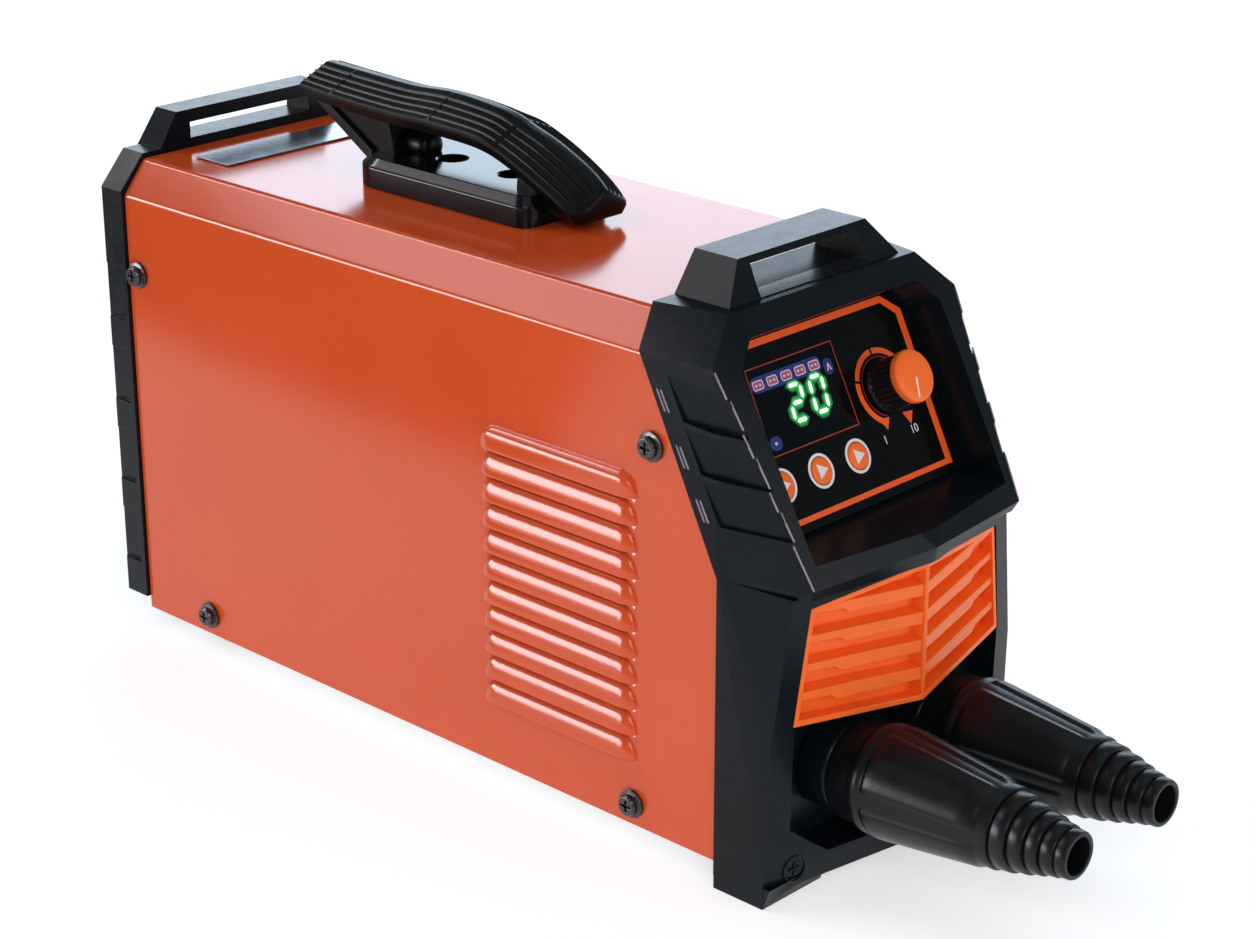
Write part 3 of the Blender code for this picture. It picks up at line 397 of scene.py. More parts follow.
def loft(loops, caps=True):
    """Joins closed loops of points, all with the same number of points."""
    bm = bmesh.new()
    rings = [[bm.verts.new(point) for point in loop] for loop in loops]
    for near, far in zip(rings, rings[1:]):
        for i in range(len(near)):
            j = (i + 1) % len(near)
            bm.faces.new((near[i], near[j], far[j], far[i]))
    if caps:
        bm.faces.new(rings[0])
        bm.faces.new(rings[-1])
    bmesh.ops.recalc_face_normals(bm, faces=bm.faces)
    return bm


def turned(profile, steps, radius_at=None):
    """An open or closed profile of (radius, height) turned about Z. `radius_at` may change a radius by
    its angle and height."""
    loops = []
    for radius, height in profile:
        loop = []
        for i in range(steps):
            angle = math.tau * i / steps
            r = radius_at(radius, height, angle) if radius_at else radius
            loop.append((r * math.cos(angle), r * math.sin(angle), height))
        loops.append(loop)
    return loft(loops, caps=False)


def moved(bm, matrix):
    bmesh.ops.transform(bm, matrix=matrix, verts=bm.verts)
    return bm


def facing_front(x, y, z):
    """Lays a shape drawn along +Z so that it points to the front, and places it."""
    return Matrix.Translation((x, y, z)) @ Matrix.Rotation(math.radians(90), 4, "X")


def welded(bm, distance):
    """Merges the points closer than that, and turns the faces outwards."""
    bmesh.ops.remove_doubles(bm, verts=bm.verts, dist=distance)
    bmesh.ops.recalc_face_normals(bm, faces=bm.faces)
    return bm


def joined(parts):
    whole = bmesh.new()
    for part in parts:
        mesh = mesh_of("part", part)
        whole.from_mesh(mesh)
        bpy.data.meshes.remove(mesh)
    return whole


def hull(points):
    bm = bmesh.new()
    for point in points:
        bm.verts.new(point)
    made = bmesh.ops.convex_hull(bm, input=bm.verts)
    inner = [item for item in made["geom_interior"] if isinstance(item, bmesh.types.BMVert)]
    bmesh.ops.delete(bm, geom=inner, context="VERTS")
    bmesh.ops.dissolve_limit(bm, angle_limit=math.radians(0.5), verts=bm.verts, edges=bm.edges)
    return bm


def smoothstep(value, low, high):
    t = min(1.0, max(0.0, (value - low) / (high - low)))
    return t * t * (3 - 2 * t)


def curve_through(stations, steps):
    """Points on a smooth curve through the stations, each a tuple of numbers."""
    points = []
    last = len(stations) - 1
    for i in range(last):
        before, start = stations[max(i - 1, 0)], stations[i]
        end, after = stations[i + 1], stations[min(i + 2, last)]
        for k in range(steps):
            t = k / steps
            points.append(tuple(
                0.5 * (2 * b + (c - a) * t + (2 * a - 5 * b + 4 * c - d) * t * t
                       + (3 * b - a - 3 * c + d) * t ** 3)
                for a, b, c, d in zip(before, start, end, after)))
    points.append(stations[-1])
    return points


# ---------------------------------------------------------------- steel cover with its louvres

COVER_HALF = 63.5
CREASE_Z, CREASE_HALF = 182.0, 52.7
FOLD_RADIUS, FOLD_BACK, SHEET = 3.0, 2.0, 0.9
UPPER_FOLD_SHARE = 0.6        # how much of the upper fold's tangent lies inside the crease
KNEE_Y, KNEE_Z = -108.8, 112.7
SLOPE = ((KNEE_Z, KNEE_Y), (CREASE_Z, -74.1), (box("cover")[1].z, -69.6))
LOUVRE_ROWS, LOUVRE_PITCH = 11, 9.6
LOUVRE_TOP_Z, LOUVRE_HIGH, LOUVRE_OUT = 130.3, 8.8, 3.3
LOUVRE_FRONT_Y, LOUVRE_REAR_Y, LOUVRE_END = -72.5, 1.0, 7.0
LOUVRE_PARTS = 8              # how many columns of faces lie between its rounded ends


def front_edge_y(z):
    """Where the cover ends at the front: upright to the knee, then leaning back."""
    for (low_z, low_y), (high_z, high_y) in zip(SLOPE, SLOPE[1:]):
        if low_z < z <= high_z + 0.01:
            return low_y + (high_y - low_y) * (z - low_z) / (high_z - low_z)
    return KNEE_Y


def louvre_end_share(y):
    """1 along the louvre, falling to 0 on a quarter circle at each end."""
    near_end = min(y - LOUVRE_FRONT_Y, LOUVRE_REAR_Y - y)
    if near_end >= LOUVRE_END:
        return 1.0
    return math.sqrt(max(0.0, 1 - ((LOUVRE_END - near_end) / LOUVRE_END) ** 2))


def louvre_columns():
    end = [LOUVRE_END * (1 - math.cos(math.radians(a))) for a in (0, 15, 30, 45, 60, 75, 90)]
    inner = LOUVRE_REAR_Y - LOUVRE_FRONT_Y - 2 * LOUVRE_END
    middle = [LOUVRE_END + inner * i / LOUVRE_PARTS for i in range(1, LOUVRE_PARTS)]
    back = [LOUVRE_REAR_Y - LOUVRE_FRONT_Y - d for d in reversed(end)]
    return [LOUVRE_FRONT_Y + d for d in end + middle + back]


# A louvre's section from its top to its lip: (share of the height above the lip, share of the depth).
TOP_LOUVRE = (
    (1.0, 0.0), (0.96, 0.20), (0.92, 0.40), (0.87, 0.58), (0.80, 0.73), (0.70, 0.85), (0.56, 0.93),
    (0.46, 0.95), (0.36, 0.97), (0.24, 0.985), (0.12, 1.0), (0.05, 0.985), (0.02, 0.96), (0.0, 0.93),
)
LOUVRE = (
    (1.0, 0.0), (0.95, 0.18), (0.90, 0.318), (0.85, 0.425), (0.80, 0.512), (0.73, 0.61), (0.65, 0.69),
    (0.55, 0.78), (0.45, 0.853), (0.35, 0.915), (0.25, 0.966), (0.10, 1.0), (0.04, 0.985), (0.0, 0.94),
)


def cover_side(bm, side):
    """One flat side with a D-shaped hole at each louvre, and the pressed louvres in the holes."""
    low_z, rear_y = box("cover")[0].z, box("cover")[1].y
    top_z = CREASE_Z - FOLD_BACK
    x = side * COVER_HALF
    outline = [(rear_y, low_z), (rear_y, top_z), (front_edge_y(top_z), top_z), (KNEE_Y, KNEE_Z),
               (KNEE_Y, low_z)]
    corners = [bm.verts.new((x, y, z)) for y, z in outline]
    edges = [bm.edges.new(pair) for pair in zip(corners, corners[1:] + corners[:1])]
    columns = louvre_columns()
    for row in range(LOUVRE_ROWS):
        lip_z = LOUVRE_TOP_Z - row * LOUVRE_PITCH
        section = LOUVRE if row else TOP_LOUVRE
        grid = []
        for y in columns:
            share = louvre_end_share(y)
            if share == 0.0:
                point = bm.verts.new((x, y, lip_z))
                grid.append([point] * len(section))
                continue
            depth, height = side * LOUVRE_OUT * share, LOUVRE_HIGH * share
            grid.append([bm.verts.new((x + depth * out, y, lip_z + height * up)) for up, out in section])
        for near, far in zip(grid, grid[1:]):
            for k in range(len(section) - 1):
                corners_of = list(dict.fromkeys((near[k], far[k], far[k + 1], near[k + 1])))
                if len(corners_of) > 2:
                    bm.faces.new(corners_of)
        tops = [column[0] for column in grid]
        edges += [bm.edges.get(pair) or bm.edges.new(pair) for pair in zip(tops, tops[1:])]
        sill = [bm.verts.new((x, y, lip_z)) for y in columns[1:-1]]
        sill = [tops[0], *sill, tops[-1]]
        edges += [bm.edges.new(pair) for pair in zip(sill, sill[1:])]
    bmesh.ops.triangle_fill(bm, edges=edges, use_beauty=True, normal=(side, 0, 0))


def fold(centre, radius, start, end, steps=5):
    """Points of a rounded fold about a centre, from one angle to another."""
    angles = [math.radians(start + (end - start) * i / steps) for i in range(steps + 1)]
    return [(centre[0] + radius * math.cos(a), centre[1] + radius * math.sin(a)) for a in angles]


def cover_piece():
    """The whole cover: two flat sides, and the strips of the folds, chamfers and top between them."""
    bm = bmesh.new()
    rear_y, top_z = box("cover")[1].y, box("cover")[1].z
    lean = math.degrees(math.atan2(COVER_HALF - CREASE_HALF, top_z - CREASE_Z))
    section = fold((COVER_HALF - FOLD_RADIUS, CREASE_Z - FOLD_BACK), FOLD_RADIUS, 0, lean)
    tangent = FOLD_RADIUS * math.tan(math.radians(90 - lean) / 2)
    section += fold((CREASE_HALF - tangent * UPPER_FOLD_SHARE, top_z - FOLD_RADIUS), FOLD_RADIUS, lean, 90)
    section = [(min(x, COVER_HALF), min(z, top_z)) for x, z in section] + [(0.0, top_z)]
    for side in (1, -1):
        cover_side(bm, side)
        line = [(bm.verts.new((side * x, front_edge_y(z), z)), bm.verts.new((side * x, rear_y, z)))
                for x, z in section]
        for near, far in zip(line, line[1:]):
            bm.faces.new((near[0], near[1], far[1], far[0]))
    bmesh.ops.remove_doubles(bm, verts=bm.verts, dist=0.002)
    bmesh.ops.recalc_face_normals(bm, faces=bm.faces)
    top = max(bm.faces, key=lambda face: face.calc_center_median().z)
    if top.normal.z < 0:
        bmesh.ops.reverse_faces(bm, faces=bm.faces)
    made = piece("cover_shell", bm, "case", "orange_paint", ("cover",), sharp=16.0)
    shell = made.modifiers.new("sheet", "SOLIDIFY")
    shell.thickness = SHEET * MM
    shell.offset = -1.0
    weighted(made)


# ---------------------------------------------------------------- panel

PANEL_NORMAL = -Vector(joint("knob_turn")["axis"]).normalized()
PANEL_UP = PANEL_NORMAL.cross(Vector((1, 0, 0)))
KNOB_X, KNOB_DOWN = 24.8, 24.3
BUTTON_XS, BUTTON_DOWN = (-37.2, -18.2, 0.8), 42.9


def panel_surface():
    """How far along the panel's normal its printed face lies, in millimetres."""
    return max((v.co / MM).dot(PANEL_NORMAL) for v in NODES["panel_plate"].data.vertices)


def panel_matrix():
    """Turns (across, up, out) from the knob's axis to the part's frame."""
    on_axis = Vector(joint("knob_turn")["pos_m"]) / MM
    foot = on_axis + PANEL_NORMAL * (panel_surface() - on_axis.dot(PANEL_NORMAL))
    turn = Matrix((Vector((1, 0, 0)), PANEL_UP, PANEL_NORMAL)).transposed().to_4x4()
    return Matrix.Translation(foot) @ turn


PANEL = panel_matrix()


def at_panel(x, down, out=0.0):
    """A panel point: x from the middle, `down` from the panel's top reference, `out` from its face."""
    return PANEL @ Vector((x - KNOB_X, KNOB_DOWN - down, out))


def inlay(name, shapes, out, look, body="case", thick=0.04, slot="panel_film"):
    """Flat printed shapes, each a list of (x, down), standing `out` from the panel's face."""
    parts = []
    for shape in shapes:
        low = [at_panel(x, down, out) for x, down in shape]
        high = [at_panel(x, down, out + thick) for x, down in shape]
        parts.append(loft([low, high]))
    return piece(name, joined(parts), body, slot, look=look)


def bar(start, end, width, point=0.5):
    """A stroke with pointed ends, as a hexagon."""
    a, b = Vector(start), Vector(end)
    along = (b - a).normalized()
    across = Vector((-along.y, along.x)) * width / 2
    tip = along * width * point
    corners = (a, a + tip + across, b - tip + across, b, b - tip - across, a + tip - across)
    return [tuple(corner) for corner in corners]


def stroke(points, width):
    """A closed line of even width as one quad per side, mitred at the corners."""
    shapes = []
    count = len(points)
    inner = []
    for i in range(count):
        before, here, after = (Vector(points[(i + k) % count]) for k in (-1, 0, 1))
        first, second = (here - before).normalized(), (after - here).normalized()
        first_side, second_side = Vector((-first.y, first.x)), Vector((-second.y, second.x))
        mitre = (first_side + second_side).normalized()
        inner.append(here + mitre * width / max(0.3, mitre.dot(first_side)))
    for i in range(count):
        j = (i + 1) % count
        shapes.append([tuple(points[i]), tuple(points[j]), tuple(inner[j]), tuple(inner[i])])
    return shapes


def ring_sector(centre, near, far, start, end, steps=18):
    """Quads of a ring between two angles, counted in degrees from straight down, clockwise."""
    shapes = []
    for i in range(steps):
        quad = []
        for radius, k in ((near, i), (far, i), (far, i + 1), (near, i + 1)):
            angle = math.radians(start + (end - start) * k / steps)
            quad.append((centre[0] - radius * math.sin(angle), centre[1] + radius * math.cos(angle)))
        shapes.append(quad)
    return shapes


SEGMENTS = {
    "top": ((0, 0), (1, 0)), "upper_left": ((0, 0), (0, 1)), "upper_right": ((1, 0), (1, 1)),
    "middle": ((0, 1), (1, 1)), "lower_left": ((0, 1), (0, 2)), "lower_right": ((1, 1), (1, 2)),
    "bottom": ((0, 2), (1, 2)),
}
DIGITS = {
    "2": ("top", "upper_right", "middle", "lower_left", "bottom"),
    "0": ("top", "upper_left", "upper_right", "lower_left", "lower_right", "bottom"),
}


def digit_bars(digit, x, down, width, grow):
    """A seven-segment digit centred at (x, down), leaning to the right."""
    half_w, half_h, lean, gap = 3.1, 5.9, 0.12, 0.75
    bars = []
    for name in DIGITS[digit]:
        ends = []
        for across, below in SEGMENTS[name]:
            up = (1 - below) * half_h
            ends.append(Vector((x + (across * 2 - 1) * half_w + up * lean, down - up)))
        along = (ends[1] - ends[0]).normalized()
        bars.append(bar(ends[0] + along * (gap - grow), ends[1] - along * (gap - grow), width + 2 * grow))
    return bars


def rounded_box(x, down, width, high, corner, steps=4):
    """A rounded rectangle about its centre."""
    points = []
    for sx, sy, start in ((1, -1, -90), (1, 1, 0), (-1, 1, 90), (-1, -1, 180)):
        cx, cy = x + sx * (width / 2 - corner), down + sy * (high / 2 - corner)
        for i in range(steps + 1):
            angle = math.radians(start + 90 * i / steps)
            points.append((cx + corner * math.cos(angle), cy + corner * math.sin(angle)))
    return points


def panel_border():
    """The orange line along the panel's top, right and bottom."""
    outer = [(-46.4, -5.2), (38.2, -5.2), (46.2, 1.3), (44.3, 57.0), (-46.4, 57.0)]
    inner = [(-46.4, -2.8), (37.2, -2.8), (43.1, 2.4), (41.4, 55.1), (-46.4, 55.1)]
    shapes = [[outer[i], outer[i + 1], inner[i + 1], inner[i]] for i in range(len(outer) - 1)]
    inlay("panel_border", shapes, 0.02, PRINTS["orange"])


def display_print():
    """The display's frame, its two digits, and the generic marks over and beside them."""
    frame_line = [(-37.5, 33.4), (-36.2, 3.4), (7.4, 3.4), (6.8, 33.4)]
    inlay("display_frame", stroke(frame_line, 0.45), 0.06, PRINTS["frame_red"])
    for out, look, width, grow in ((0.03, "digit_halo", 1.5, 1.5), (0.08, "digit_glow", 1.5, 0.7),
                                   (0.13, "digit_core", 1.35, 0.0)):
        bars = digit_bars("2", -17.6, 19.0, width, grow) + digit_bars("0", -6.6, 18.8, width, grow)
        inlay(look + "s", bars, out, PRINTS[look])
    icon_xs = [-32.3 + 7.0 * i for i in range(5)]
    halos = [rounded_box(-18.3, 9.3, 35.0, 5.4, 2.4), rounded_box(2.2, 11.4, 4.4, 5.6, 2.0),
             rounded_box(-33.6, 29.2, 5.6, 4.6, 2.0)]
    inlay("icon_halos", halos, 0.035, PRINTS["icon_halo"])
    shapes = []
    for x in icon_xs:
        shapes += stroke(rounded_box(x, 9.4, 5.2, 3.3, 0.9), 0.4)
        shapes += [bar((x - 1.6, 9.4), (x - 0.3, 9.4), 0.9), bar((x + 0.3, 9.4), (x + 1.6, 9.4), 0.9)]
    shapes.append(bar((-34.4, 29.2), (-32.8, 29.2), 1.1))
    shapes += [bar((1.4, 12.9), (2.4, 10.2), 0.5), bar((3.2, 12.9), (2.3, 10.2), 0.5)]
    blocks = [rounded_box(x, 9.4, 5.0, 3.1, 0.9) for x in icon_xs]
    inlay("icon_blocks", blocks, 0.07, PRINTS["icon_fill"])
    inlay("display_icons", shapes, 0.1, PRINTS["icon_core"])


def dial_print():
    """The scale round the knob: an arc in three lengths, a thin line inside it, and two arrows."""
    centre = (KNOB_X, KNOB_DOWN)
    shapes = []
    for far, start, end in ((13.7, 27, 108), (13.6, 112, 176), (13.6, 180, 300)):
        shapes += ring_sector(centre, 11.6, far, start, end)
    inlay("dial_arc", shapes, 0.03, PRINTS["orange"])
    inlay("dial_inner_line", ring_sector(centre, 10.3, 10.6, 20, 320, 40), 0.03, PRINTS["frame_red"])
    arrows = [[(21.9, 34.6), (16.6, 34.4), (19.2, 38.6)],
              [(28.8, 34.8), (34.1, 35.4), (31.2, 39.6)]]
    inlay("dial_arrows", arrows, 0.05, PRINTS["orange"])


def print_text(name, text, x, down, size):
    """A number printed on the panel."""
    curve = bpy.data.curves.new(name, "FONT")
    curve.body = text
    curve.size = size * MM
    curve.extrude = 0.02 * MM
    curve.align_x = "CENTER"
    curve.align_y = "CENTER"
    curve.resolution_u = 6
    curve.materials.append(PRINTS["white"])
    made = linked(name, curve)
    made.matrix_world = Matrix.Translation(at_panel(x, down, 0.05) * MM) @ PANEL.to_3x3().to_4x4()
    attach(made, "case")


BUTTON_CAP = [                # (radius, height over the panel's face)
    (0.01, -0.9), (4.75, -0.9), (4.75, 0.1), (4.6, 0.34), (4.25, 0.52), (3.6, 0.6), (0.01, 0.62),
]


def button_pieces():
    """The three push buttons, each with a triangle, and the printed rings round them."""
    rings = []
    for x in BUTTON_XS:
        rings += ring_sector((x, BUTTON_DOWN), 5.0, 6.0, 0, 360, 36)
    inlay("button_rings", rings, 0.03, PRINTS["white"])
    for name, x in zip(("left", "middle", "right"), BUTTON_XS):
        place = PANEL @ Matrix.Translation((x - KNOB_X, KNOB_DOWN - BUTTON_DOWN, 0))
        cap = moved(turned(BUTTON_CAP, 48), place)
        bmesh.ops.remove_doubles(cap, verts=cap.verts, dist=0.02)
        piece(f"button_{name}_cap", cap, f"button_{name}", "orange_plastic", (f"button_{name}",))
        triangle = [(x - 1.9, BUTTON_DOWN - 2.7), (x + 2.9, BUTTON_DOWN), (x - 1.9, BUTTON_DOWN + 2.7)]
        inlay(f"button_{name}_mark", [triangle], BUTTON_CAP[-1][1], PRINTS["white"], f"button_{name}",
              slot="orange_plastic")


def height_out(node):
    """How far a node stands out from the panel's face."""
    return max((v.co / MM).dot(PANEL_NORMAL) for v in NODES[node].data.vertices) - panel_surface()


FLUTES, FLUTE_DEPTH = 24, 0.32
POINTER_ANGLE = 15.0          # degrees from straight down, clockwise, at the lowest setting
POINTER_THICK, POINTER_PROUD = 0.1, 0.02


def knob_pieces():
    base, top = 0.5, height_out("knob")

    def fluted(radius, height, angle):
        if radius < 7 or height < base + 2.2 or height > top - 0.6:
            return radius
        return radius - FLUTE_DEPTH * (0.5 - 0.5 * math.cos(FLUTES * angle)) ** 2

    profile = [(3.3, base), (9.3, base), (9.55, base + 0.3), (9.55, base + 1.3), (9.2, base + 1.7),
               (8.9, base + 2.2), (8.85, base + 2.6), (8.75, top - 0.9), (8.75, top - 0.4), (8.3, top),
               (0.01, top)]
    body = moved(turned(profile, 192, fluted), PANEL)
    piece("knob_body", body, "knob", "black_plastic", ("knob",))
    low, high = top + 0.3, height_out("knob_cap")
    profile = [(0.01, low), (8.9, low), (9.25, low + 0.3), (9.25, high - 1.3), (9.1, high - 0.8),
               (8.7, high - 0.4), (8.0, high - 0.16), (6.0, high - 0.06), (0.01, high)]
    cap = moved(turned(profile, 72), PANEL)
    bmesh.ops.remove_doubles(cap, verts=cap.verts, dist=0.02)
    piece("knob_cap_disc", cap, "knob", "orange_plastic", ("knob_cap",))
    angle = math.radians(POINTER_ANGLE)
    centre, tip = Vector((KNOB_X, KNOB_DOWN)), Vector((-math.sin(angle), math.cos(angle)))
    line = bar(centre + tip * 0.6, centre + tip * 7.8, 0.75, 0.2)
    inlay("knob_pointer", [line], high + POINTER_PROUD - POINTER_THICK, PRINTS["white"], "knob",
          thick=POINTER_THICK, slot="orange_plastic")


# ---------------------------------------------------------------- grille

GRILLE_LOW = box("front_grille")[0]
GRILLE_FRONT_Y = GRILLE_LOW.y + 0.4
GRILLE_SLOPE = 0.193


def grille_y(x):
    """Where the grille's V-shaped face lies, at a distance x from the middle."""
    return GRILLE_FRONT_Y + abs(x) * GRILLE_SLOPE


def bent_frame(outer, inner, front, back):
    """One half of the frame: a ring between two outlines of (x, z), bent to the grille's face."""
    bm = bmesh.new()
    rings = []
    for outline, depth in ((inner, back), (outer, back), (outer, front), (inner, front)):
        rings.append([bm.verts.new((x, grille_y(x) + depth, z)) for x, z in outline])
    rings.append(rings[0])
    for near, far in zip(rings, rings[1:]):
        for i in range(len(near)):
            j = (i + 1) % len(near)
            bm.faces.new((near[i], near[j], far[j], far[i]))
    bmesh.ops.recalc_face_normals(bm, faces=bm.faces)
    return bm


def slat(side, step):
    """One bar: its lower edge steps up near the outer end, and its back rises to a sloping top."""
    inner_low, inner_high = 97.1 - 10.15 * step, 101.4 - 10.13 * step
    step_in, step_out = 32.1 + 1.37 * step, 34.6 + 1.4 * step
    mid_low, notch_low = 99.4 - 10.0 * step, 101.4 - 9.97 * step
    end_x = 47.6 + 1.55 * step
    end_low, end_high = 102.7 - 9.87 * step, 105.0 - 9.75 * step
    front = [(0.6, inner_low), (step_in, mid_low), (step_out, notch_low), (end_x, end_low),
             (end_x, end_high), (30.0, inner_high + (end_high - inner_high) * 0.62), (0.6, inner_high)]
    raised = (0, 0, 0, 0, 1.2, 1.2, 1.2)
    near = [(side * x, grille_y(x) + 0.3, z) for x, z in front]
    far = [(side * x, grille_y(x) + 4.9, z + up) for (x, z), up in zip(front, raised)]
    return loft([near, far])


def grille_piece():
    parts = []
    for side in (1, -1):
        outer = [(0, 59.1), (side * 54.8, 64.5), (side * 48.8, 105.0), (0, 109.4)]
        inner = [(side * 0.9, 61.2), (side * 52.6, 66.4), (side * 47.0, 103.4), (side * 0.9, 107.2)]
        parts.append(bent_frame(outer, inner, -0.4, 5.8))
        back = [(0.2, 60.0), (53.6, 65.6), (47.8, 104.0), (0.2, 108.4)]
        near = [(side * x, grille_y(x) + 4.8, z) for x, z in back]
        far = [(side * x, grille_y(x) + 5.6, z) for x, z in back]
        parts.append(loft([near, far]))
        parts += [slat(side, step) for step in range(4)]
    made = piece("grille_louvres", joined(parts), "case", "orange_plastic", ("front_grille",))
    bevelled(made, 0.25, 2)


# ---------------------------------------------------------------- plugs and sockets

# The plug's outline: (radius, distance from the sleeve's inner end).
SLEEVE = [
    (17.2, 0.2), (17.6, 0.8), (17.9, 2.2), (17.9, 8.6), (18.2, 9.6), (18.9, 10.8), (19.3, 12.4),
    (19.35, 14.0), (19.3, 15.0), (19.25, 15.8), (19.2, 16.6), (19.15, 17.2), (19.0, 20.0), (18.2, 27.0),
    (17.4, 35.0), (16.5, 43.0), (15.6, 51.0), (15.0, 56.5), (14.8, 58.0), (14.6, 59.4), (14.3, 62.6),
    (13.9, 63.4),
]
SLEEVE_RINGS = ((13.4, 63.8, 69.5), (12.0, 69.8, 75.3), (10.6, 75.6, 80.2), (9.3, 80.5, 85.4))
SLEEVE_TIP = [
    (8.2, 85.9), (8.35, 86.4), (8.2, 89.0), (7.9, 89.6), (7.4, 89.8), (6.6, 89.7), (6.25, 89.3),
    (6.2, 41.0), (6.2, 40.2),
]
PIN_BORE, PIN_BORE_START, PIN_BORE_END = 7.9, 0.2, 40.2
PADS_FROM, PADS_TO = 14, 60


def padded(radius, along, angle):
    """The radius with four long raised pads round the sleeve."""
    if radius < 8.7 or not PADS_FROM < along < PADS_TO:
        return radius
    across = abs(math.remainder(angle - math.pi / 4, math.pi / 2))
    pad = 1 - smoothstep(across, 0.56, 0.64)
    ends = smoothstep(along, 15.5, 17.0) * (1 - smoothstep(along, 57, 59.0))
    return radius - 0.5 + 0.9 * pad * ends


def sleeve_outline():
    """Outside to the tip, back through the cable's bore, and out of the pin's wider bore."""
    rings = []
    for radius, near, far in SLEEVE_RINGS:
        rings += [(radius - 0.9, near - 0.1), (radius - 0.25, near + 0.1), (radius, near + 0.5),
                  (radius - 0.35, far - 0.5), (radius - 0.6, far - 0.15), (radius - 1.2, far)]
    mouth, bottom = (PIN_BORE, PIN_BORE_START), (PIN_BORE, PIN_BORE_END)
    return [mouth] + SLEEVE + rings + SLEEVE_TIP + [bottom, mouth]


def plug_pieces():
    for name in ("minus", "plus"):
        low, high = box(f"plug_sleeve_{name}")
        x, z = (low.x + high.x) / 2, (low.z + high.z) / 2
        outline = [(radius, min(along, high.y - low.y)) for radius, along in sleeve_outline()]
        bm = welded(moved(turned(outline, 128, padded), facing_front(x, high.y, z)), 0.001)
        piece(f"plug_{name}_rubber", bm, f"plug_{name}", "rubber", (f"plug_sleeve_{name}",), sharp=40.0)


SOCKET_LONG, SOCKET_FLANGE = 24.4, 12.2


def socket_pieces():
    for name in ("minus", "plus"):
        low, high = box(f"socket_body_{name}")
        x, z = (low.x + high.x) / 2, (low.z + high.z) / 2
        front, outer = -low.y, (high.x - low.x) / 2
        back, seat = front - SOCKET_LONG, front - SOCKET_FLANGE
        profile = [(8.3, back), (10.7, back), (10.7, seat), (outer - 0.8, seat),
                   (outer, seat + 0.9), (outer, front - 1.6), (outer - 0.3, front - 0.7),
                   (outer - 0.9, front - 0.15), (outer - 1.6, front), (13.2, front), (12.9, front - 0.6),
                   (11.4, front - 0.6), (11.1, front), (9.0, front), (8.5, front - 0.3), (8.3, front - 0.8),
                   (8.3, back)]
        bm = welded(moved(turned(profile, 72), facing_front(x, 0, z)), 0.001)
        piece(f"socket_{name}_flange", bm, "case", "black_plastic", (f"socket_body_{name}",))


# ---------------------------------------------------------------- handle

GRIP_STATIONS = [             # (y, underside, edge, ridge, half width)
    (148.0, 219.4, 224.6, 230.4, 15.5), (131.0, 218.0, 223.4, 229.8, 15.5),
    (101.0, 216.8, 222.3, 229.0, 15.5), (80.0, 216.8, 222.4, 230.0, 15.5),
    (60.0, 216.4, 222.0, 228.8, 15.7), (49.0, 215.2, 221.0, 227.2, 15.8),
    (40.0, 212.6, 218.4, 224.2, 15.8), (30.0, 208.4, 214.4, 221.2, 15.6),
    (20.0, 203.0, 209.6, 217.2, 15.2), (12.0, 198.6, 205.2, 213.4, 14.6),
    (7.0, 196.6, 202.2, 210.2, 13.6), (4.4, 196.6, 201.4, 208.0, 12.2),
]
SEAM_YS = (131.0, 78.0, 43.0)
GRIP_LIP = 2.1
GRIP_RIBS = (0.14, 0.36, 0.58, 0.80)          # shares of the way up the slope
RIB_SECTION = ((-0.04, 0.0), (-0.018, 0.5), (0.0, 0.62), (0.018, 0.5), (0.04, 0.0))
SEAM_HEIGHT = 0.35


def grip_section(low, edge, ridge, half, raised, closed):
    """Half of the grip's section, from its inner rim up over the ribbed slope to the top. `raised` lifts
    the slope to a seam, and `closed` goes from 0, hollow below, to 1, flat below."""
    inner_z = edge - 1.9 + (low - edge + 1.9) * closed
    half_section = [(half - 3.4, inner_z), (half - 3.0, low), (half - 2.1, low),
                    (half, edge - GRIP_LIP - 0.2), (half + 0.15, edge - GRIP_LIP + 0.3),
                    (half + 0.1, edge - 0.5), (half - 0.5, edge)]
    start, end = Vector((half - 0.5, edge)), Vector((half * 0.12, ridge))
    slope = end - start
    normal = Vector((slope.y, -slope.x)).normalized()
    if normal.y < 0:
        normal = -normal
    for middle in GRIP_RIBS:
        for offset, proud in RIB_SECTION:
            point = start + slope * (middle + offset) + normal * max(proud, raised)
            half_section.append(tuple(point))
    half_section += [tuple(end + normal * 0.1), (half * 0.05, ridge + 0.1)]
    return half_section


def grip_mesh():
    """The grip along its smooth curve, with raised seams across it and a rounded front tip."""
    loops = []
    rows = curve_through(GRIP_STATIONS, 6)
    for seam in SEAM_YS:
        for offset in (-0.7, -0.45, 0.45, 0.7):
            after = next(i for i, row in enumerate(rows) if row[0] < seam + offset)
            near, far = rows[after - 1], rows[after]
            t = (near[0] - seam - offset) / (near[0] - far[0])
            rows.insert(after, tuple(a + (b - a) * t for a, b in zip(near, far)))
    for y, low, edge, ridge, half in rows:
        raised = SEAM_HEIGHT if any(abs(y - seam) < 0.5 for seam in SEAM_YS) else 0.0
        side = grip_section(low, edge, ridge, half, raised, 1 - smoothstep(y, 14, 34))
        loops.append([(x, y, z) for x, z in side] + [(-x, y, z) for x, z in reversed(side)])
    middle_z = sum(point[2] for point in loops[-1]) / len(loops[-1])
    tip = loops[-1]
    for ahead, share in ((0.9, 0.86), (1.5, 0.62), (1.8, 0.3)):
        loops.append([(x * share, y - ahead, middle_z + (z - middle_z) * share) for x, y, z in tip])
    return loft(loops)


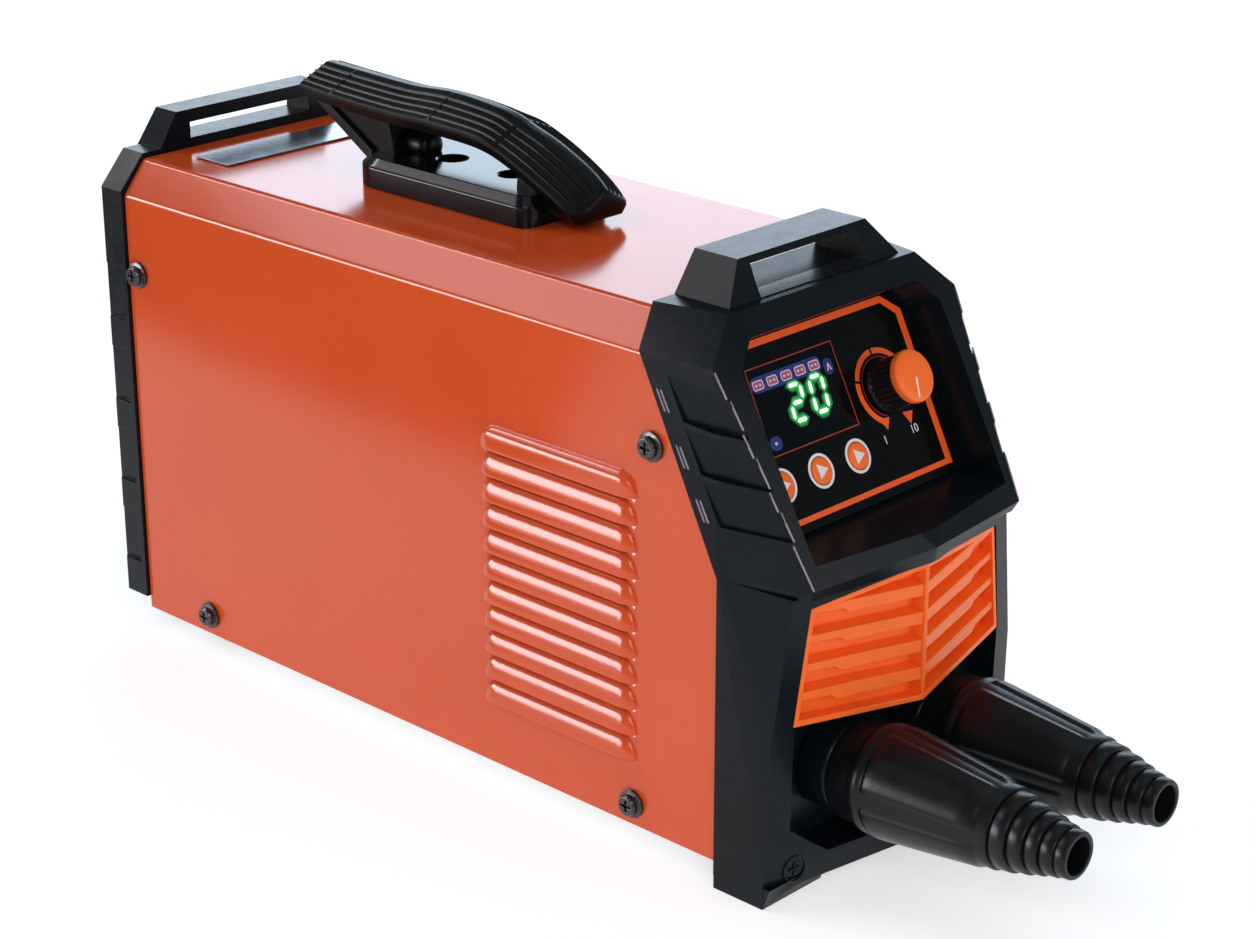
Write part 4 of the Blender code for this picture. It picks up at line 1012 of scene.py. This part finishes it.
def rounded_outline(corners, radius, steps=6):
    """An outline whose corners are rounded by arcs of that radius."""
    points = []
    count = len(corners)
    for i in range(count):
        before, here, after = (Vector(corners[(i + k) % count]) for k in (-1, 0, 1))
        first, second = (before - here).normalized(), (after - here).normalized()
        reach = min(radius, (before - here).length * 0.45, (after - here).length * 0.45)
        start, end = here + first * reach, here + second * reach
        for k in range(steps + 1):
            t = k / steps
            points.append(tuple(start * (1 - t) ** 2 + here * 2 * t * (1 - t) + end * t ** 2))
    return points


HANDLE_LOW = box("handle")[0].z
BASE_TOP = 204.6
BASE_OUTLINE = [(-22, 105), (-22, 20.8), (22, 20.8), (22, 105), (16, 114), (-16, 114)]
BASE_HALF, BASE_HALF_LONG, BASE_MIDDLE_Y = 22, 46, 66.0
BASE_STEPS = (                # (height, how far the outline is drawn in)
    (HANDLE_LOW, 0.0), (200.8, 0.0), (201.6, 0.25), (202.2, 0.9), (203.8, 2.1),
    (BASE_TOP - 0.15, 2.6), (BASE_TOP, 3.3),
)
BOSS_LONG = 30
BOSS = [                      # (radius, distance from the tip)
    (0.01, 0), (2.6, 0.15), (4.4, 0.9), (5.5, 2.2), (6.0, 4.2), (6.0, BOSS_LONG), (0.01, BOSS_LONG),
]
# Corners of the support on one side: a slanting rim at the rear, the web by it, and the nose in front.
RIM = [(x, y, z) for y, z in ((114, 201.4), (108.5, 203.6), (147.6, 221.6), (139.5, 221.8))
       for x in (10.2, 13.2)]
WEB = ((11.0, 113, 202.2), (11.0, 100, 203), (11.5, 145.6, 221.6), (11.5, 104, 220.6))
NOSE = ((12.0, 36, 199.8), (12.2, 22, 197.8), (10.5, 12, 196.4), (8.0, 5.5, 197.0), (12.0, 14, 205),
        (12.6, 34, 213))
WELL_DEEP = 4.6               # below the screw head's top


def handle_base():
    foot = rounded_outline(BASE_OUTLINE, 7.0)
    loops = []
    for z, inset in BASE_STEPS:
        wide, long = 1 - inset / BASE_HALF, 1 - inset / BASE_HALF_LONG
        loops.append([(x * wide, BASE_MIDDLE_Y + (y - BASE_MIDDLE_Y) * long, z) for x, y in foot])
    return loft(loops)


def screw_wells():
    """The round wells over the two handle screws."""
    wells = []
    for node in ("handle_screw_front", "handle_screw_rear"):
        low, high = box(node)
        bottom, top = high.z - WELL_DEEP, BASE_TOP + 2
        well = [(0.01, bottom), (5.6, bottom), (5.6, BASE_TOP - 0.5), (6.3, BASE_TOP + 0.02), (6.3, top),
                (0.01, top)]
        centre = Matrix.Translation((0, (low.y + high.y) / 2, 0))
        wells.append(welded(moved(turned(well, 40), centre), 0.02))
    return joined(wells)


def handle_support():
    """What stands between the grip and its base: two rims, a web, the nose and the round boss."""
    parts = [hull([(side * x, y, z) for x, y, z in RIM]) for side in (1, -1)]
    for corners in (WEB, NOSE):
        parts.append(hull([(side * x, y, z) for side in (1, -1) for x, y, z in corners]))
    boss = turned([(radius, BOSS_LONG - along) for radius, along in reversed(BOSS)], 40)
    moved(boss, facing_front(0, 120, 207.2))
    bmesh.ops.recalc_face_normals(boss, faces=boss.faces)
    return joined([*parts, boss])


def handle_pieces():
    matt, gloss = FINISHES["grip_black"], FINISHES["gloss_black"]
    weighted(piece("handle_grip", grip_mesh(), "case", "black_plastic", ("handle",), matt, 34.0))
    bevelled(piece("handle_support", handle_support(), "case", "black_plastic", look=matt), 0.7, 3)
    base = piece("handle_base", handle_base(), "case", "black_plastic", look=gloss)
    weighted(carved(base, screw_wells()))


# ---------------------------------------------------------------- marks moulded in the bezel

MARK_X, MARK_Y, MARK_Z = 51.9, -133.55, 11.4
BEZEL_SLOPE = 0.154           # how far the bezel's face falls back per millimetre across


def moulded_marks():
    """A ring round a plus and a ring round a minus, low on the front, beside the sockets."""
    for name, side, upright in (("plus", -1, True), ("minus", 1, False)):
        lean = Matrix.Rotation(side * math.atan(BEZEL_SLOPE), 4, "Z")
        place = Matrix.Translation((side * MARK_X, MARK_Y, MARK_Z)) @ lean @ facing_front(0, 0, 0)
        ring = [(4.2, -0.5), (4.2, 0.35), (4.4, 0.5), (4.8, 0.5), (5.0, 0.35), (5.0, -0.5)]
        parts = [turned(ring, 48)]
        arms = [(2.3, 0.45)] + ([(0.45, 2.3)] if upright else [])
        for half_w, half_h in arms:
            loop = [(-half_w, -half_h), (half_w, -half_h), (half_w, half_h), (-half_w, half_h)]
            parts.append(loft([[(a, b, -0.5) for a, b in loop], [(a, b, 0.45) for a, b in loop]]))
        piece(f"moulded_{name}", moved(joined(parts), place), "case", "black_plastic")


# ---------------------------------------------------------------- pale edges of the front hood, painted highlights

HOOD_TOP, HOOD_LOW = Vector((62.2, -104.0, 182.0)), Vector((54.5, -141.3, 114.2))
# Each length of the painted highlight along the edge: its upper end, its lower end and how far it is set in.
EDGE_RUNS = ((181.2, 173.0, 0.0), (172.3, 163.4, 1.1), (162.4, 155.2, 0.2), (155.0, 145.6, 1.1),
             (144.8, 138.8, 0.2), (138.6, 129.4, 1.1), (128.6, 114.6, 0.0))
RIB_X = 64.78
RIB_STARTS = ((-82.4, 171.4), (-91.0, 154.2), (-99.8, 138.0))


def rod(start, end, radius, sides=8):
    """A thin round rod between two points."""
    start, end = Vector(start), Vector(end)
    turn = (end - start).to_track_quat("Z", "Y").to_matrix().to_4x4()
    length = (end - start).length
    profile = [(0.02, 0), (radius * 0.7, 0.05), (radius, 0.3), (radius, length - 0.3),
               (radius * 0.7, length - 0.05), (0.02, length)]
    return moved(turned(profile, sides), Matrix.Translation(start) @ turn)


def hood_lines():
    """Painted highlight along the hood's front edge as pale rods, broken at each pocket, and a pair of pale ribs
    behind each, also painted highlight.
    """
    along = (HOOD_LOW - HOOD_TOP).normalized()
    edges, ribs = [], []
    for side in (1, -1):
        for high, low, inset in EDGE_RUNS:
            ends = [HOOD_TOP + along * ((HOOD_TOP.z - z) / -along.z) for z in (high, low)]
            points = [(side * (end.x - inset - 0.25), end.y + 0.02, end.z) for end in ends]
            edges.append(rod(*points, 0.33))
        for y, z in RIB_STARTS:
            for step in (0.0, -1.7):
                top = Vector((side * RIB_X, y + step, z))
                ribs.append(rod(top, top + Vector((0.0, -3.8, -7.0)), 0.34))
    # The pale grey of these rods and ribs is painted highlight: the light caught on the hood's rounded edges and
    # ribs.
    pale = finish("painted_highlight_edge", (0.30, 0.25, 0.28), (0.3, 0.4), grain=((1800.0, 0.01),))
    piece("hood_edge_highlight_lines", joined(edges), "case", "black_plastic", look=pale)
    piece("hood_ribs", joined(ribs), "case", "black_plastic", look=pale)


# ---------------------------------------------------------------- everything

def carried_nodes():
    """Every CAD node takes its procedural material, also those that a piece will stand for."""
    for name, node in NODES.items():
        node.data.materials.clear()
        node.data.materials.append(FINISHES[SLOT_OF[name]])


EDGE_WIDTHS = {               # how wide each node's edges are rounded
    "front_bezel": 0.7, "rear_bezel": 0.8, "panel_plate": 0.25, "display_lens": 0.2, "base_pan": 0.3,
    "fan_frame": 0.8, "fan_guard": 0.35, "switch_housing": 0.6, "switch_rocker": 0.6, "top_plate": 0.12,
    "gland_body": 0.3, "gland_nut": 0.4, "earth_stud": 0.2, "rear_foot_left": 0.5, "rear_foot_right": 0.5,
}
SCREW_EDGE = 0.16
SLOT_HALF = 27.6
SLOT_STEPS = (                # (y, underside, top) of the slot under the front guard bar
    (-112, 195.8, 206.2), (-86, 195.8, 206.2), (-70, 197.2, 205.0), (-58, 198.2, 204.4),
)


def fine_copies():
    """Copies with rounded edges of nodes that show. The front guard's slot is opened in its copy."""
    slot = [(x, y, z) for x in (-SLOT_HALF, SLOT_HALF) for y, low, high in SLOT_STEPS for z in (low, high)]
    cutters = {"front_bezel": hull(slot)}
    for node, width in EDGE_WIDTHS.items():
        detailed(node, width, cutter_bm=cutters.get(node))
    for node in NODES:
        if node.startswith(("screw_", "handle_screw_")):
            detailed(node, SCREW_EDGE)


camera()
studio()
dark_card()
floor()
carried_nodes()
cover_piece()
fine_copies()
panel_border()
display_print()
dial_print()
print_text("dial_number_1", "1", 16.3, 41.6, 4.2)
print_text("dial_number_10", "10", 31.8, 41.5, 4.2)
button_pieces()
knob_pieces()
grille_piece()
plug_pieces()
socket_pieces()
handle_pieces()
moulded_marks()
hood_lines()
